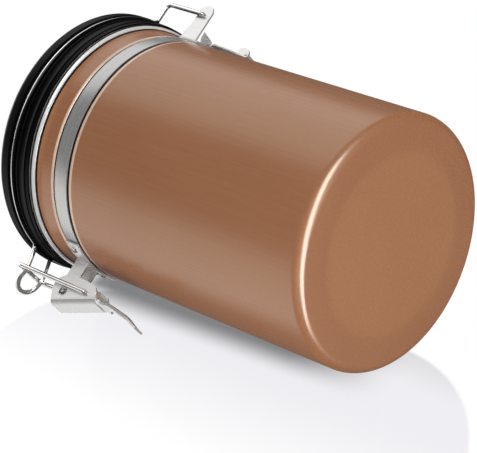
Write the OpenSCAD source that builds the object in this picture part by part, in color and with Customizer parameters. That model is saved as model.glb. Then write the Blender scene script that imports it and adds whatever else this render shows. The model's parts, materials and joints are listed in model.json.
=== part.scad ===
// Airtight storage canister: a painted steel can with a wire-held lid,
// a one-way gas valve in the lid, a toggle latch in front and a hinge behind.
// Millimetres. +Z runs from the base to the lid, -Y is the latch side, +Y the hinge side.
// The origin is the middle of the flat ring that the can stands on.

/* [Part to show] */
// Sub-part to draw, or all of them

/* [Can] */
// Outer radius of the can's wall
can_r = 58; // [54:0.5:64]
// Height of the can up to the underside of its rim bead
can_h = 164.3; // [150:0.1:200]
// Thickness of the can's wall and base
wall = 0.8; // [0.6:0.1:1.1]
// Radius of the round edge at the base
base_edge_r = 4.5; // [3:0.5:6]
// Radius of the circle that is pressed into the base
recess_r = 41; // [30:1:46]
// Depth of the circle that is pressed into the base
recess_depth = 0.6; // [0.4:0.1:1]
// How far the neck flares out at its top
neck_flare = 1.3; // [1:0.1:1.6]
// Height over which the neck flares
neck_flare_h = 4; // [3:0.5:6]
// Radius of the rim bead's round section
rim_bead_r = 1.6; // [1.4:0.05:1.8]

/* [Neck band] */
// Distance from the band's upper edge up to the underside of the rim bead
band_drop = 12.2; // [11:0.1:16]
// Width of the band along the can
band_w = 8; // [7:0.5:10]
// Thickness of the band
band_t = 0.9; // [0.7:0.1:1.2]
// How far the band stands out from the can's wall
band_proud = 0.25; // [0.1:0.05:0.5]
// Open space in the groove beside each edge of the band
band_side_gap = 0.8; // [0.5:0.1:1.2]
// Length of each rounded shoulder of the groove
groove_shoulder = 1.2; // [0.8:0.1:1.6]
// Width of the band's split, hidden behind the latch bracket
band_split_w = 5; // [3:0.5:8]

/* [Lid] */
// Thickness of the collar's skirt
skirt_t = 0.7; // [0.6:0.05:1]
// How far the collar's flange stands out past its skirt
flange_step = 1.2; // [0.8:0.1:1.6]
// Height of the collar, from its lower edge to its top face
collar_h = 19; // [18:0.5:22]
// Height of the wire groove's middle above the collar's lower edge
wire_h = 10.9; // [10:0.1:12]
// Thickness of the gasket
gasket_t = 2.2; // [1.8:0.1:3]
// Gap between the closed lid and the rim bead
lid_gap = 0.3; // [0.25:0.05:0.4]
// Thickness of the lid's steel sheets
lid_sheet = 0.8; // [0.6:0.1:1]
// Height of the steel cover above the collar
cover_h = 1.8; // [1.4:0.1:2.4]
// Radius of the raised middle of the steel cover
cover_panel_r = 47; // [30:1:50]
// Height of the raised middle of the steel cover
cover_panel_h = 0.7; // [0.4:0.1:1.2]

/* [Wire] */
// Diameter of the lid wire and of the latch bail
wire_d = 2.2; // [2:0.1:2.4]
// Half the distance between the two legs of the lid wire's front loop
loop_half = 6.2; // [5.8:0.1:6.6]
// How far the lid wire's front loop reaches out past the bail's cross bar
loop_past = 9.4; // [8:0.1:12]
// Half the distance between the lid wire's two hinge legs
hinge_leg_x = 19.6; // [17:0.1:20]

/* [Latch] */
// Distance of the lever's pivot outside the can's wall
pivot_out = 18.3; // [17.5:0.1:20]
// Distance of the lever's pivot below the middle of the band
pivot_drop = 1.5; // [0.5:0.1:2.5]
// Radius of the lever's pivot pin
pin_r = 1.6; // [1.4:0.1:1.8]
// Length of the lever's flat back
lever_l = 27.3; // [26:0.1:30]
// Width of the lever over its two cheeks
lever_w = 11.4; // [11:0.1:11.8]
// Depth of the lever's cheeks
cheek_d = 14.5; // [14:0.1:15.5]
// Thickness of the lever's and the brackets' sheet
sheet = 1; // [0.8:0.1:1.1]
// Radius of the bends between the lever's back and its cheeks
lever_bend_r = 2.5; // [2:0.1:3]
// Angle of the lever's back to the can's axis
lever_lean = 19.7; // [15:0.1:22]
// Length of the thumb tongue
tongue_l = 25.5; // [20:0.5:32]
// Angle of the tongue to the lever's back
tongue_turn = 28; // [24:0.5:32]
// Height of the arch pressed into the tongue
tongue_rise = 2.5; // [1.5:0.1:3.2]
// Gap between the lid wire's front loop and each bar of the bail
bail_side_gap = 0.8; // [0.6:0.1:1.2]
// Height of the bail's cross bar above its pivots
bail_l = 43.7; // [42:0.1:46]

/* [Hinge] */
// Distance of the hinge's axis behind the can's wall
hinge_out = 11.9; // [11:0.1:14]
// Height of the hinge's axis above the middle of the band
hinge_rise = 6.3; // [6:0.1:8]
// Width of each hinge ear, along the can
hinge_ear_w = 8.2; // [7.5:0.1:9]
// How far each hinge ear reaches past the hinge's axis
hinge_ear_past = 5.6; // [5:0.1:8]
// Half the width of the scoop clip's foot
clip_half = 13; // [9:0.5:13.5]
// Half the width of the scoop clip's tongue
clip_tongue_half = 4; // [3:0.5:5]
// How far the tongue stands off its foot, for a scoop's handle
clip_slot = 3; // [2:0.2:4]
// Length of the scoop clip, from the top of its foot to its rolled end
clip_l = 26.5; // [22:0.5:34]

/* [Valve] */
// Outer radius of the valve's flange on the lid
valve_r = 14; // [12:0.5:18]
// Radius of the valve's barrel
barrel_r = 9; // [8:0.5:10]
// Travel of the valve's disc
valve_lift = 0.8; // [0.5:0.1:1]
// Number of vent holes in the valve's cap
vents = 8; // [4:1:12]

/* [Hidden] */
// Facets of full turns, of small rounds, and steps along curves
round_fn = 180;
small_fn = 48;
wire_sides = 12;
bend_steps = 6;
arc_steps = 8;
// Overrun of every cut, gap between pieces seated on each other, running fit of pins in bores
over = 1;
seat = 0.05;
fit = 0.08;

// Can, rim bead and band
rim_mid_r = can_r + neck_flare - wall / 2;
rim_mid_z = can_h + rim_bead_r;
rim_out_r = rim_mid_r + rim_bead_r;
rim_top = can_h + 2 * rim_bead_r;
band_hi = can_h - band_drop;
band_lo = band_hi - band_w;
band_mid = (band_lo + band_hi) / 2;
band_out_r = can_r + band_proud;
groove_r = band_out_r - band_t - seat;
groove_lo = band_lo - band_side_gap;
groove_hi = band_hi + band_side_gap;
band_round = band_t / 3;

// Lid levels, from the collar's lower edge up
collar_lo = rim_top - rim_bead_r / 2;
collar_hi = collar_lo + collar_h;
collar_in_r = rim_out_r + lid_gap;
collar_r = collar_in_r + skirt_t;
collar_rib = skirt_t / 2;
flange_r = collar_r + flange_step;
flange_round = 2.2;
flange_cover = 0.3;
wire_groove_r = flange_r - flange_cover - wire_d;
gasket_lo = rim_top + lid_gap;
gasket_hi = gasket_lo + gasket_t;
gasket_in_r = rim_mid_r - 2 * rim_bead_r;
shelf_t = 1.5;
shelf_hi = gasket_hi + seat + shelf_t;
well_r = wire_groove_r - shelf_t;
plate_lo = shelf_hi + seat;
plate_hi = plate_lo + lid_sheet;
plate_r = well_r - lid_gap;
cover_lo = collar_hi + seat;
cover_hi = cover_lo + cover_h;
cover_r = collar_r - shelf_t / 2;
cover_top = cover_hi + cover_panel_h;

// Wire
wire_r = wire_d / 2;
wire_z = collar_lo + wire_h;
wire_ring_r = wire_groove_r + seat + wire_r;
wire_groove_half = wire_r + lid_gap;
// The ends of each swept wire are thinner, and lie inside the straight stubs that turn in bores
end_share = 0.8;
stub_cover = 0.62 * wire_d;
stub_start = 1.3 * wire_d;

// Latch, in distances out from the can's axis and up from its base
pivot_r = can_r + pivot_out;
pivot_z = band_mid - pivot_drop;
// Places on the lever as shares of its length and cheek depth: its pivot, the bail's pivot
pivot_share = [0.193, 0.441];
bail_pivot_share = [0.691, 0.34];
// Outline of a cheek, as shares of the back's length and the cheek's depth, and how round each corner is
cheek_shares = [[0, 0], [-0.045, 0.55], [0, 0.9], [0.27, 1.04], [0.6, 0.8], [0.86, 0.58], [0.97,
    0.1], [1, 0]];
cheek_cut_shares = [0, 0.3, 0.5, 0.5, 0.5, 0.5, 0.3, 0];
lever_turn = -90 - lever_lean;
back_dir = [cos(lever_turn), sin(lever_turn)];
depth_dir = [sin(lever_turn), -cos(lever_turn)];
lever_o = [pivot_r, pivot_z] - on_lever(pivot_share);
bail_pivot = lever_o + on_lever(bail_pivot_share);
bail_top = bail_pivot + [wire_r / 2, bail_l];
bail_gap = 0.9;
bail_half = loop_half + wire_d + bail_side_gap;
saddle_z = bail_top[1] - wire_d - bail_gap;
loop_reach = bail_top[0] + loop_past;
bail_pivot_half = lever_w / 2 + lid_gap + wire_r;
latch_ear_gap = 0.5;
latch_ear_x = lever_w / 2 - sheet - latch_ear_gap;
latch_ear_r = 2 * pin_r;
latch_plate_in = band_out_r + seat;
latch_plate_out = latch_plate_in + sheet;
latch_plate_turn = 33;
rivet_r = 1.8;
rivet_h = 0.7;
pin_head_r = 1.32 * pin_r;
pin_head_t = 0.7;

// Hinge
hinge_y = can_r + hinge_out;
hinge_z = band_mid + hinge_rise;
hinge_ear_x = hinge_leg_x - wire_r - lid_gap;
hinge_ear_hi = hinge_z + hinge_ear_w / 2;
hinge_ear_lo = hinge_ear_hi - hinge_ear_w;
hinge_ear_end = hinge_y + hinge_ear_past - hinge_ear_w / 2;
hinge_foot = sqrt(pow(latch_plate_in + sheet / 2, 2) - pow(hinge_ear_x, 2));
// Height of the shoulder at the foot of each hinge ear, toward the lid, and how far out it runs
ear_shoulder_h = 1.6;
ear_shoulder_l = 4.6;
hinge_plate_turn = 40;
hinge_plate_lo = band_lo + band_w / 3;
stub_l = 3 * wire_d;
bail_stub_l = 0.8 * wire_d;
clip_t = 0.8;
clip_in_r = latch_plate_out + seat;
clip_turn = 2 * asin(clip_half / clip_in_r);
curl_r = 1.2;

// Valve levels
flange_t = 1.6;
valve_lo = gasket_lo + lid_gap;
seat_lo = plate_hi + 3 * sheet;
seat_hi = seat_lo + 1.5 * sheet;
disc_t = 0.9;
disc_r = 0.62 * barrel_r;
chamber_r = barrel_r - 2 * sheet;
washer_t = 0.8;
cap_t = 1.4;
cap_lo = cover_top + washer_t + 2 * seat + flange_t;

function unit(v) = v / norm(v);
function ease(t) = (1 - cos(180 * t)) / 2;
function smooth(t) = ease(max(0, min(1, t)));
function on_lever(share) = back_dir * share[0] * lever_l + depth_dir * share[1] * cheek_d;
// Points of an arc round c from angle a to angle b
function arc(c, r, a, b, n = arc_steps) = [for (i = [0:n]) c + r * [cos(a + (b - a) * i / n),
    sin(a + (b - a) * i / n)]];
// A corner p between a and b, rounded over the length t on both sides
function bend(a, p, b, t) = [for (i = [0:bend_steps]) let (s = i / bend_steps)
    pow(1 - s, 2) * (p + t * unit(a - p)) + 2 * s * (1 - s) * p + s * s * (p + t * unit(b - p))];
// A closed outline with each corner rounded over a share of its two sides
function soft(pts, cut) = [for (k = [0:len(pts) - 1]) let (
    p = pts[k],
    a = pts[(k + len(pts) - 1) % len(pts)],
    b = pts[(k + 1) % len(pts)],
    n = cut[k] > 0 ? bend_steps : 0)
    for (i = [0:n]) let (s = n > 0 ? i / n : 0)
        pow(1 - s, 2) * (p + cut[k] * (a - p)) + 2 * s * (1 - s) * p + s * s * (p + cut[k] * (b - p))];
// Direction of a path at point i, and a normal carried along it without twist
function heading(p, i) = unit(p[min(i + 1, len(p) - 1)] - p[max(i - 1, 0)]);
function carried(p, i, n) = i >= len(p) ? [] : let (
    d = heading(p, i),
    m = unit(n - (n * d) * d)) concat([m], carried(p, i + 1, m));

// A round wire along a path of points, starting with the normal n
module wire_along(path, n) {
    normals = carried(path, 0, n);
    last = len(path) - 1;
    rings = [for (i = [0:last]) let (d = heading(path, i), m = normals[i], b = cross(d, m),
        r = i == 0 || i == last ? end_share * wire_r : wire_r)
        for (k = [0:wire_sides - 1]) let (a = 360 * k / wire_sides)
            path[i] + r * (cos(a) * m + sin(a) * b)];
    sides = [for (i = [0:last - 1]) for (k = [0:wire_sides - 1]) let (
        j = (k + 1) % wire_sides, lo = i * wire_sides, hi = lo + wire_sides)
        [lo + k, hi + k, hi + j, lo + j]];
    start = [for (k = [0:wire_sides - 1]) k];
    end = [for (k = [wire_sides - 1:-1:0]) last * wire_sides + k];
    polyhedron(concat(rings, []), concat(sides, [start, end]));
}

// A full turn, or a sector of it centred on an angle, of an outline of radii and heights
module turned(pts) rotate_extrude($fn = round_fn) polygon(pts);
module sector(middle, turn, pts)
    rotate([0, 0, middle - turn / 2]) rotate_extrude(angle = turn, $fn = round_fn) polygon(pts);
module front() rotate([90, 0, -90]) children();
module back() rotate([90, 0, 90]) children();
module tube(r, z0, z1, hole) difference() {
    translate([0, 0, z0]) cylinder(r = r, h = z1 - z0, $fn = round_fn);
    translate([0, 0, z0 - over]) cylinder(r = hole, h = z1 - z0 + 2 * over, $fn = round_fn);
}
// A low domed rivet head standing along +Z
module rivet(r, h) rotate_extrude($fn = small_fn)
    polygon(concat([[0, 0], [r, 0], [r, h / 3]], [for (i = [1:4]) let (a = 90 * i / 4) [r * cos(a),
        h / 3 + h * 2 / 3 * sin(a)]]));

// Outline of the can's sheet, outside going up and inside coming down
function can_side(inset) = concat(
    arc([can_r - base_edge_r, base_edge_r], base_edge_r - inset, -90, 0),
    [for (i = [0:4]) [can_r - inset - (can_r - groove_r) * ease(i / 4),
        groove_lo - groove_shoulder * (1 - i / 4)]],
    [for (i = [0:4]) [groove_r - inset + (can_r - groove_r) * ease(i / 4),
        groove_hi + groove_shoulder * i / 4]],
    [for (i = [0:5]) [can_r - inset + neck_flare * (1 - cos(90 * i / 5)),
        can_h - neck_flare_h * (1 - i / 5)]]);
function reversed(p) = [for (i = [len(p) - 1:-1:0]) p[i]];

module can() color([0.58, 0.4, 0.31])
    turned(concat(
        [[0, recess_depth], [recess_r - recess_depth, recess_depth], [recess_r, 0]],
        can_side(0),
        reversed(can_side(wall)),
        [[recess_r, wall], [recess_r - recess_depth, wall + recess_depth], [0, wall + recess_depth]]));

module rim_bead() color([0.82, 0.82, 0.82])
    translate([0, 0, rim_mid_z]) rotate_extrude($fn = round_fn)
        translate([rim_mid_r, 0]) circle(r = rim_bead_r, $fn = small_fn);

module neck_band() color([0.7, 0.7, 0.7]) difference() {
    turned([[groove_r + seat, band_lo], [band_out_r - band_round, band_lo], [band_out_r,
        band_lo + band_round],
        [band_out_r, band_hi - band_round], [band_out_r - band_round, band_hi], [groove_r + seat,
            band_hi]]);
    translate([-band_split_w / 2, -can_r - 2 * over, band_lo - over])
        cube([band_split_w, can_r, band_w + 2 * over]);
}

// One ear of the latch bracket: a block at the can, narrowing to an eye round the pivot
module latch_ear() difference() {
    union() {
        polygon([[latch_plate_in + sheet / 2, band_lo - sheet / 2], [pivot_r - latch_ear_r,
            band_lo - sheet / 2],
            [pivot_r, pivot_z - latch_ear_r], [pivot_r, pivot_z + latch_ear_r],
            [pivot_r - 2 * latch_ear_r, band_hi - sheet / 2], [latch_plate_in + sheet / 2,
                band_hi - sheet / 2]]);
        translate([pivot_r, pivot_z]) circle(r = latch_ear_r, $fn = small_fn);
    }
    translate([pivot_r, pivot_z]) circle(r = pin_r + seat / 2, $fn = small_fn);
}
module latch_bracket() color([0.78, 0.78, 0.78]) {
    sector(-90, latch_plate_turn, [[latch_plate_in, band_lo - sheet / 2], [latch_plate_out,
        band_lo - sheet / 2],
        [latch_plate_out, band_hi - sheet / 2], [latch_plate_in, band_hi - sheet / 2]]);
    for (side = [-1, 1]) translate([side * (latch_ear_x - sheet / 2), 0, 0])
        front() linear_extrude(sheet, center = true) latch_ear();
}

module latch_rivets() color([0.85, 0.85, 0.85])
    for (side = [-1, 1]) rotate([0, 0, side * latch_plate_turn * 0.36])
        translate([0, -latch_plate_out - seat / 2, band_mid]) rotate([90, 0, 0]) rivet(rivet_r, rivet_h);

// Hollow pin through the ears and the lever's cheeks, with a rolled head at each end
module lever_pin() color([0.85, 0.85, 0.85]) {
    reach = lever_w / 2 + seat * 2;
    front() translate([pivot_r, pivot_z, 0]) difference() {
        union() {
            cylinder(r = pin_r, h = 2 * reach, center = true, $fn = small_fn);
            for (side = [-1, 1]) translate([0, 0, side * (reach + pin_head_t / 2)])
                cylinder(r = pin_head_r, h = pin_head_t, center = true, $fn = small_fn);
        }
        for (side = [-1, 1]) translate([0, 0, side * (reach + pin_head_t)])
            cylinder(r = pin_r / 2, h = 3 * pin_head_t, center = true, $fn = small_fn);
    }
}

module hinge_ear() difference() {
    union() {
        polygon([[hinge_foot, hinge_ear_lo], [hinge_ear_end, hinge_ear_lo], [hinge_ear_end, hinge_ear_hi],
            [can_r + ear_shoulder_l + sheet, hinge_ear_hi], [can_r + ear_shoulder_l,
                hinge_ear_hi + ear_shoulder_h / 2],
            [can_r, hinge_ear_hi + ear_shoulder_h], [hinge_foot, hinge_ear_hi + ear_shoulder_h]]);
        translate([hinge_ear_end, (hinge_ear_lo + hinge_ear_hi) / 2]) circle(r = hinge_ear_w / 2,
            $fn = small_fn);
    }
    translate([hinge_y, hinge_z]) circle(r = wire_r + fit, $fn = small_fn);
}
module hinge_bracket() color([0.78, 0.78, 0.78]) {
    sector(90, hinge_plate_turn, [[latch_plate_in, hinge_plate_lo], [latch_plate_out, hinge_plate_lo],
        [latch_plate_out, hinge_ear_hi + sheet / 4], [latch_plate_in, hinge_ear_hi + sheet / 4]]);
    for (side = [-1, 1]) translate([side * (hinge_ear_x - sheet / 2), 0, 0])
        back() linear_extrude(sheet, center = true) hinge_ear();
}

module hinge_rivets() color([0.85, 0.85, 0.85])
    for (side = [-1, 1]) rotate([0, 0, side * clip_turn / 3])
        translate([0, clip_in_r + clip_t + seat / 2, (hinge_plate_lo + hinge_ear_hi) / 2])
            rotate([-90, 0, 0]) rivet(rivet_r, rivet_h);

// Spring clip for a scoop's handle: a curved foot on the bracket, two gussets, and a narrow
// tongue that steps out from the foot and ends in a roll
module scoop_clip() color([0.78, 0.78, 0.78]) {
    foot_lo = hinge_plate_lo + sheet;
    foot_hi = hinge_ear_hi - sheet;
    heel = sqrt(pow(clip_in_r + clip_t / 2, 2) - pow(clip_half, 2));
    slot_r = clip_in_r + clip_t + clip_slot;
    knee = foot_hi - 5 * clip_t;
    top = foot_hi - clip_t;
    tip = [slot_r - clip_slot / 2 + curl_r, foot_hi - clip_l];
    sector(90, clip_turn, [[clip_in_r, foot_lo], [clip_in_r + clip_t, foot_lo],
        [clip_in_r + clip_t, foot_hi], [clip_in_r, foot_hi]]);
    back() linear_extrude(2 * clip_tongue_half, center = true) {
        polygon([[clip_in_r + clip_t / 4, top], [clip_in_r + clip_t / 4, top - 2 * clip_t],
            [slot_r, knee - clip_t / 2], tip - [curl_r, 0], tip - [curl_r - clip_t, 0],
            [slot_r + clip_t, knee], [clip_in_r + clip_t, top]]);
        translate(tip) difference() {
            circle(r = curl_r, $fn = small_fn);
            circle(r = curl_r - clip_t, $fn = small_fn);
        }
    }
    for (side = [-1, 1]) translate([side * (clip_half - clip_t / 2), 0, 0])
        back() linear_extrude(clip_t, center = true)
            polygon([for (p = [[0, -2], [2.6, -2.4], [7.6, 7.3], [2.5, 6.8], [0, 5]])
                [heel, foot_lo] + clip_t * p]);
}

// Collar outline, outside going up: two soft ribs, the wire's groove, the round flange
module lid_collar() color([0.12, 0.12, 0.12]) {
    rib_lo = collar_lo + (wire_h - wire_groove_half) * 0.3;
    rib_hi = collar_lo + (wire_h - wire_groove_half) * 0.78;
    flange_lo = wire_z + wire_groove_half;
    turned(concat(
        [[collar_in_r, collar_lo], [collar_r - collar_rib, collar_lo], [collar_r, collar_lo + collar_rib]],
        [for (i = [0:4]) [collar_r + collar_rib * sin(180 * i / 4), rib_lo + collar_rib * (i - 2) * 1.6]],
        [for (i = [0:4]) [collar_r + 1.6 * collar_rib * sin(180 * i / 4),
            rib_hi + collar_rib * (i - 2) * 2]],
        [[collar_r, wire_z - wire_groove_half - collar_rib], [collar_r - collar_rib,
            wire_z - wire_groove_half],
            [wire_groove_r, wire_z - wire_groove_half], [wire_groove_r, flange_lo],
                [flange_r - collar_rib * 2, flange_lo]],
        arc([flange_r - 2 * collar_rib, flange_lo + 2 * collar_rib], 2 * collar_rib, -90, 0, 4),
        arc([flange_r - flange_round, collar_hi - flange_round], flange_round, 0, 90, 6),
        [[well_r, collar_hi], [well_r, shelf_hi], [plate_r - 2 * shelf_t, shelf_hi],
            [plate_r - 2 * shelf_t, gasket_hi + seat], [collar_in_r, gasket_hi + seat]]));
}

module lid_cover() color([0.8, 0.8, 0.8]) difference() {
    edge = cover_h / 2;
    turned(concat(
        [[0, cover_hi - lid_sheet + cover_panel_h], [cover_panel_r - cover_panel_h,
            cover_hi - lid_sheet + cover_panel_h],
            [cover_panel_r, cover_hi - lid_sheet], [cover_r - lid_sheet, cover_hi - lid_sheet],
            [cover_r - lid_sheet, cover_lo], [cover_r, cover_lo]],
        arc([cover_r - edge, cover_hi - edge], edge, 0, 90, 6),
        [[cover_panel_r + cover_panel_h, cover_hi], [cover_panel_r, cover_top], [0, cover_top]]));
    translate([0, 0, cover_lo]) cylinder(r = barrel_r + seat, h = 2 * cover_h + cover_panel_h,
        $fn = round_fn);
}

module lid_inner_plate() color([0.8, 0.8, 0.8]) tube(plate_r, plate_lo, plate_hi, barrel_r + seat);

module lid_gasket() color([0.85, 0.85, 0.83]) {
    out_r = collar_in_r - seat;
    lip = gasket_t / 3;
    turned([[gasket_in_r + lip, gasket_lo], [out_r, gasket_lo], [out_r, gasket_hi], [gasket_in_r,
        gasket_hi],
        [gasket_in_r, gasket_lo + lip]]);
}

// One half of the lid wire, from the hinge stub round the collar to the middle of the front loop
function ring_point(a) = [wire_ring_r * cos(a), wire_ring_r * sin(a), wire_z];
function lid_wire_half() = let (
    a_back = acos(hinge_leg_x / wire_ring_r),
    a_front = -acos(loop_half / wire_ring_r),
    knee = [hinge_leg_x, hinge_y, hinge_z],
    top = [hinge_leg_x, hinge_y, wire_z],
    leave = ring_point(a_back),
    meet = ring_point(a_front),
    dip = [loop_half, -bail_top[0], saddle_z],
    tip = [loop_half, -loop_reach, wire_z - 0.75 * wire_d],
    steps = round((a_back - a_front) / 6))
    concat(
        [knee - [stub_start, 0, 0]],
        bend([0, hinge_y, hinge_z], knee, top, wire_r * 1.1),
        bend(knee, top, leave, wire_d * 1.4),
        bend(top, leave, ring_point(a_back - 6), wire_d * 1.2),
        [for (i = [1:steps - 1]) ring_point(a_back + (a_front - a_back) * i / steps)],
        bend(ring_point(a_front + 6), meet, dip, wire_d * 1.1),
        bend(meet, dip, tip, wire_d),
        bend(dip, tip, [0, tip[1], tip[2]], loop_half * 0.95),
        [[0, tip[1], tip[2]]]);
module lid_wire() color([0.85, 0.85, 0.85]) {
    half = lid_wire_half();
    other = [for (i = [len(half) - 2:-1:0]) [-half[i][0], half[i][1], half[i][2]]];
    wire_along(concat(half, other), [0, 0, 1]);
    for (side = [-1, 1]) translate([side * (hinge_leg_x - stub_cover - stub_l / 2), hinge_y, hinge_z])
        rotate([0, 90, 0]) cylinder(r = wire_r, h = stub_l, center = true, $fn = small_fn);
}

module valve_housing() color([0.16, 0.16, 0.16]) {
    low = cover_top + washer_t + 2 * seat;
    difference() {
        union() {
            translate([0, 0, valve_lo]) cylinder(r = barrel_r, h = low - valve_lo + flange_t / 2,
                $fn = round_fn);
            translate([0, 0, low]) cylinder(r = valve_r, h = flange_t, $fn = round_fn);
        }
        translate([0, 0, seat_hi]) cylinder(r = chamber_r, h = cover_top, $fn = round_fn);
        translate([0, 0, valve_lo - over]) cylinder(r = chamber_r, h = seat_lo - valve_lo + over,
            $fn = round_fn);
        for (i = [0:5]) rotate([0, 0, 60 * i]) translate([disc_r / 2, 0, seat_lo - over])
            cylinder(r = disc_r / 6, h = seat_hi - seat_lo + 2 * over, $fn = small_fn);
    }
}
module valve_washer() color([0.85, 0.85, 0.83])
    tube(valve_r - sheet, cover_top + seat, cover_top + seat + washer_t, barrel_r + seat);
module valve_nut() color([0.16, 0.16, 0.16]) difference() {
    translate([0, 0, valve_lo + seat]) cylinder(r = barrel_r + 4 * sheet,
        h = plate_lo - valve_lo - 2 * seat, $fn = 6);
    translate([0, 0, valve_lo - over]) cylinder(r = barrel_r + seat, h = plate_lo, $fn = round_fn);
}
module valve_filter() color([0.93, 0.93, 0.9])
    translate([0, 0, valve_lo + seat]) cylinder(r = chamber_r - seat,
        h = seat_lo - valve_lo - 2 * seat, $fn = round_fn);
module valve_cap() color([0.16, 0.16, 0.16]) difference() {
    cap_r = valve_r - 2 * sheet;
    union() {
        translate([0, 0, cap_lo + seat]) rotate_extrude($fn = round_fn)
            polygon(concat([[0, 0]], arc([cap_r - cap_t, 0], cap_t, 0, 90, 6), [[0, cap_t]]));
        translate([0, 0, cap_lo - 2 * flange_t]) cylinder(r = chamber_r - seat,
            h = 2 * flange_t + cap_t / 2, $fn = round_fn);
    }
    translate([0, 0, cap_lo - 3 * flange_t]) cylinder(r = chamber_r - sheet,
        h = 3 * flange_t + cap_t / 3, $fn = round_fn);
    for (i = [0:vents - 1]) rotate([0, 0, 360 * i / vents]) translate([chamber_r - 2.2 * sheet, 0,
        cap_lo - over])
        cylinder(r = sheet * 0.8, h = cap_t + 2 * over, $fn = small_fn);
}
module valve_disc() color([0.75, 0.2, 0.15])
    translate([0, 0, seat_hi + seat]) cylinder(r = disc_r, h = disc_t, $fn = round_fn);

module lever_frame() front() translate([lever_o[0], lever_o[1], 0]) rotate([0, 0, lever_turn]) children();
module channel(w, r, depth) {
    translate([-depth, -w / 2]) square([depth - r, w]);
    translate([-r - over / 2, -w / 2 + r]) square([r + over / 2, w - 2 * r]);
    for (side = [-1, 1]) translate([-r, side * (w / 2 - r)]) circle(r = r, $fn = small_fn);
}
// The tongue: a sheet that turns out from the back, arched toward the can, flat again at its end
module tongue() {
    rows = 14;
    cols = 10;
    start = -0.08;
    function at(a, b, lift) = let (
        end_cut = 1 - 0.2 * smooth((a - 0.9) / 0.1) * smooth((a - 0.9) / 0.1),
        rise = tongue_rise * smooth((a - start) / 0.3) * (1 - smooth((a - 0.6) / 0.4)) * (1 - b * b),
        s = lever_l + tongue_l * max(0, a) * cos(tongue_turn) + tongue_l * min(0, a),
        t = -tongue_l * max(0, a) * sin(tongue_turn) + rise + lift)
        [s, -t, b * end_cut * lever_w / 2 * 0.999];
    function layer(lift) = [for (i = [0:rows]) for (j = [0:cols])
        at(start + (1 - start) * i / rows, 2 * j / cols - 1, lift)];
    n = (rows + 1) * (cols + 1);
    function id(i, j) = i * (cols + 1) + j;
    quads = [for (i = [0:rows - 1]) for (j = [0:cols - 1])
        [id(i, j), id(i + 1, j), id(i + 1, j + 1), id(i, j + 1)]];
    tris = [for (q = quads) each [[q[0], q[1], q[2]], [q[0], q[2], q[3]]]];
    rim = concat([for (i = [0:rows - 1]) id(i, 0)], [for (j = [0:cols - 1]) id(rows, j)],
        [for (i = [rows:-1:1]) id(i, cols)], [for (j = [cols:-1:1]) id(0, j)]);
    edges = [for (k = [0:len(rim) - 1]) let (p = rim[k], q = rim[(k + 1) % len(rim)])
        each [[p, p + n, q + n], [p, q + n, q]]];
    polyhedron(concat(layer(0), layer(sheet)),
        concat(tris, [for (f = tris) [f[2] + n, f[1] + n, f[0] + n]], edges));
}
module latch_lever() color([0.8, 0.8, 0.8]) lever_frame() {
    cheek = [for (p = cheek_shares) [p[0] * lever_l, -p[1] * cheek_d]];
    difference() {
        intersection() {
            translate([-lever_l / 2, 0, 0]) rotate([90, 0, 90]) linear_extrude(2 * lever_l) difference() {
                channel(lever_w, lever_bend_r, 2 * cheek_d);
                translate([-sheet, 0]) channel(lever_w - 2 * sheet, lever_bend_r - sheet, 2 * cheek_d);
            }
            linear_extrude(2 * lever_w, center = true) polygon(soft(cheek, cheek_cut_shares));
        }
        for (hole = [[pivot_share, pin_r], [bail_pivot_share, wire_r]])
            translate([hole[0][0] * lever_l, -hole[0][1] * cheek_d, 0])
                cylinder(r = hole[1] + fit, h = 2 * lever_w, center = true, $fn = small_fn);
    }
    tongue();
}

// One half of the bail, from its bent-in end up to the middle of the cross bar
function bail_half_path() = let (
    eye = [bail_pivot_half, -bail_pivot[0], bail_pivot[1]],
    corner = [bail_half, -bail_top[0], bail_top[1]])
    concat(
        [eye - [stub_start, 0, 0]],
        bend([0, eye[1], eye[2]], eye, corner, wire_r * 1.1),
        bend(eye, corner, [0, corner[1], corner[2]], wire_d * 1.1),
        [[0, corner[1], corner[2]]]);
module latch_bail() color([0.85, 0.85, 0.85]) {
    half = bail_half_path();
    other = [for (i = [len(half) - 2:-1:0]) [-half[i][0], half[i][1], half[i][2]]];
    wire_along(concat(half, other), [0, 1, 0]);
    for (side = [-1, 1]) translate([side * (bail_pivot_half - stub_cover - bail_stub_l / 2),
        -bail_pivot[0], bail_pivot[1]])
        rotate([0, 90, 0]) cylinder(r = wire_r, h = bail_stub_l, center = true, $fn = small_fn);
}

can();
rim_bead();
neck_band();
latch_bracket();
latch_rivets();
lever_pin();
hinge_bracket();
hinge_rivets();
scoop_clip();
lid_collar();
lid_cover();
lid_inner_plate();
lid_gasket();
lid_wire();
valve_housing();
valve_washer();
valve_nut();
valve_filter();
valve_cap();
valve_disc();
latch_lever();
latch_bail();
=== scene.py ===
"""An airtight storage canister lying on its side on a pale studio floor.

Sizes are millimetres in the canister's own frame: +Z from base to lid, -Y the latch side,
+Y the hinge side, the origin in the middle of the base. Meshes are made in metres.
"""

import json
import logging
import math
from dataclasses import dataclass, field, replace
from enum import Enum

import bmesh
import bpy
import numpy as np
from mathutils import Matrix

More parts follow.
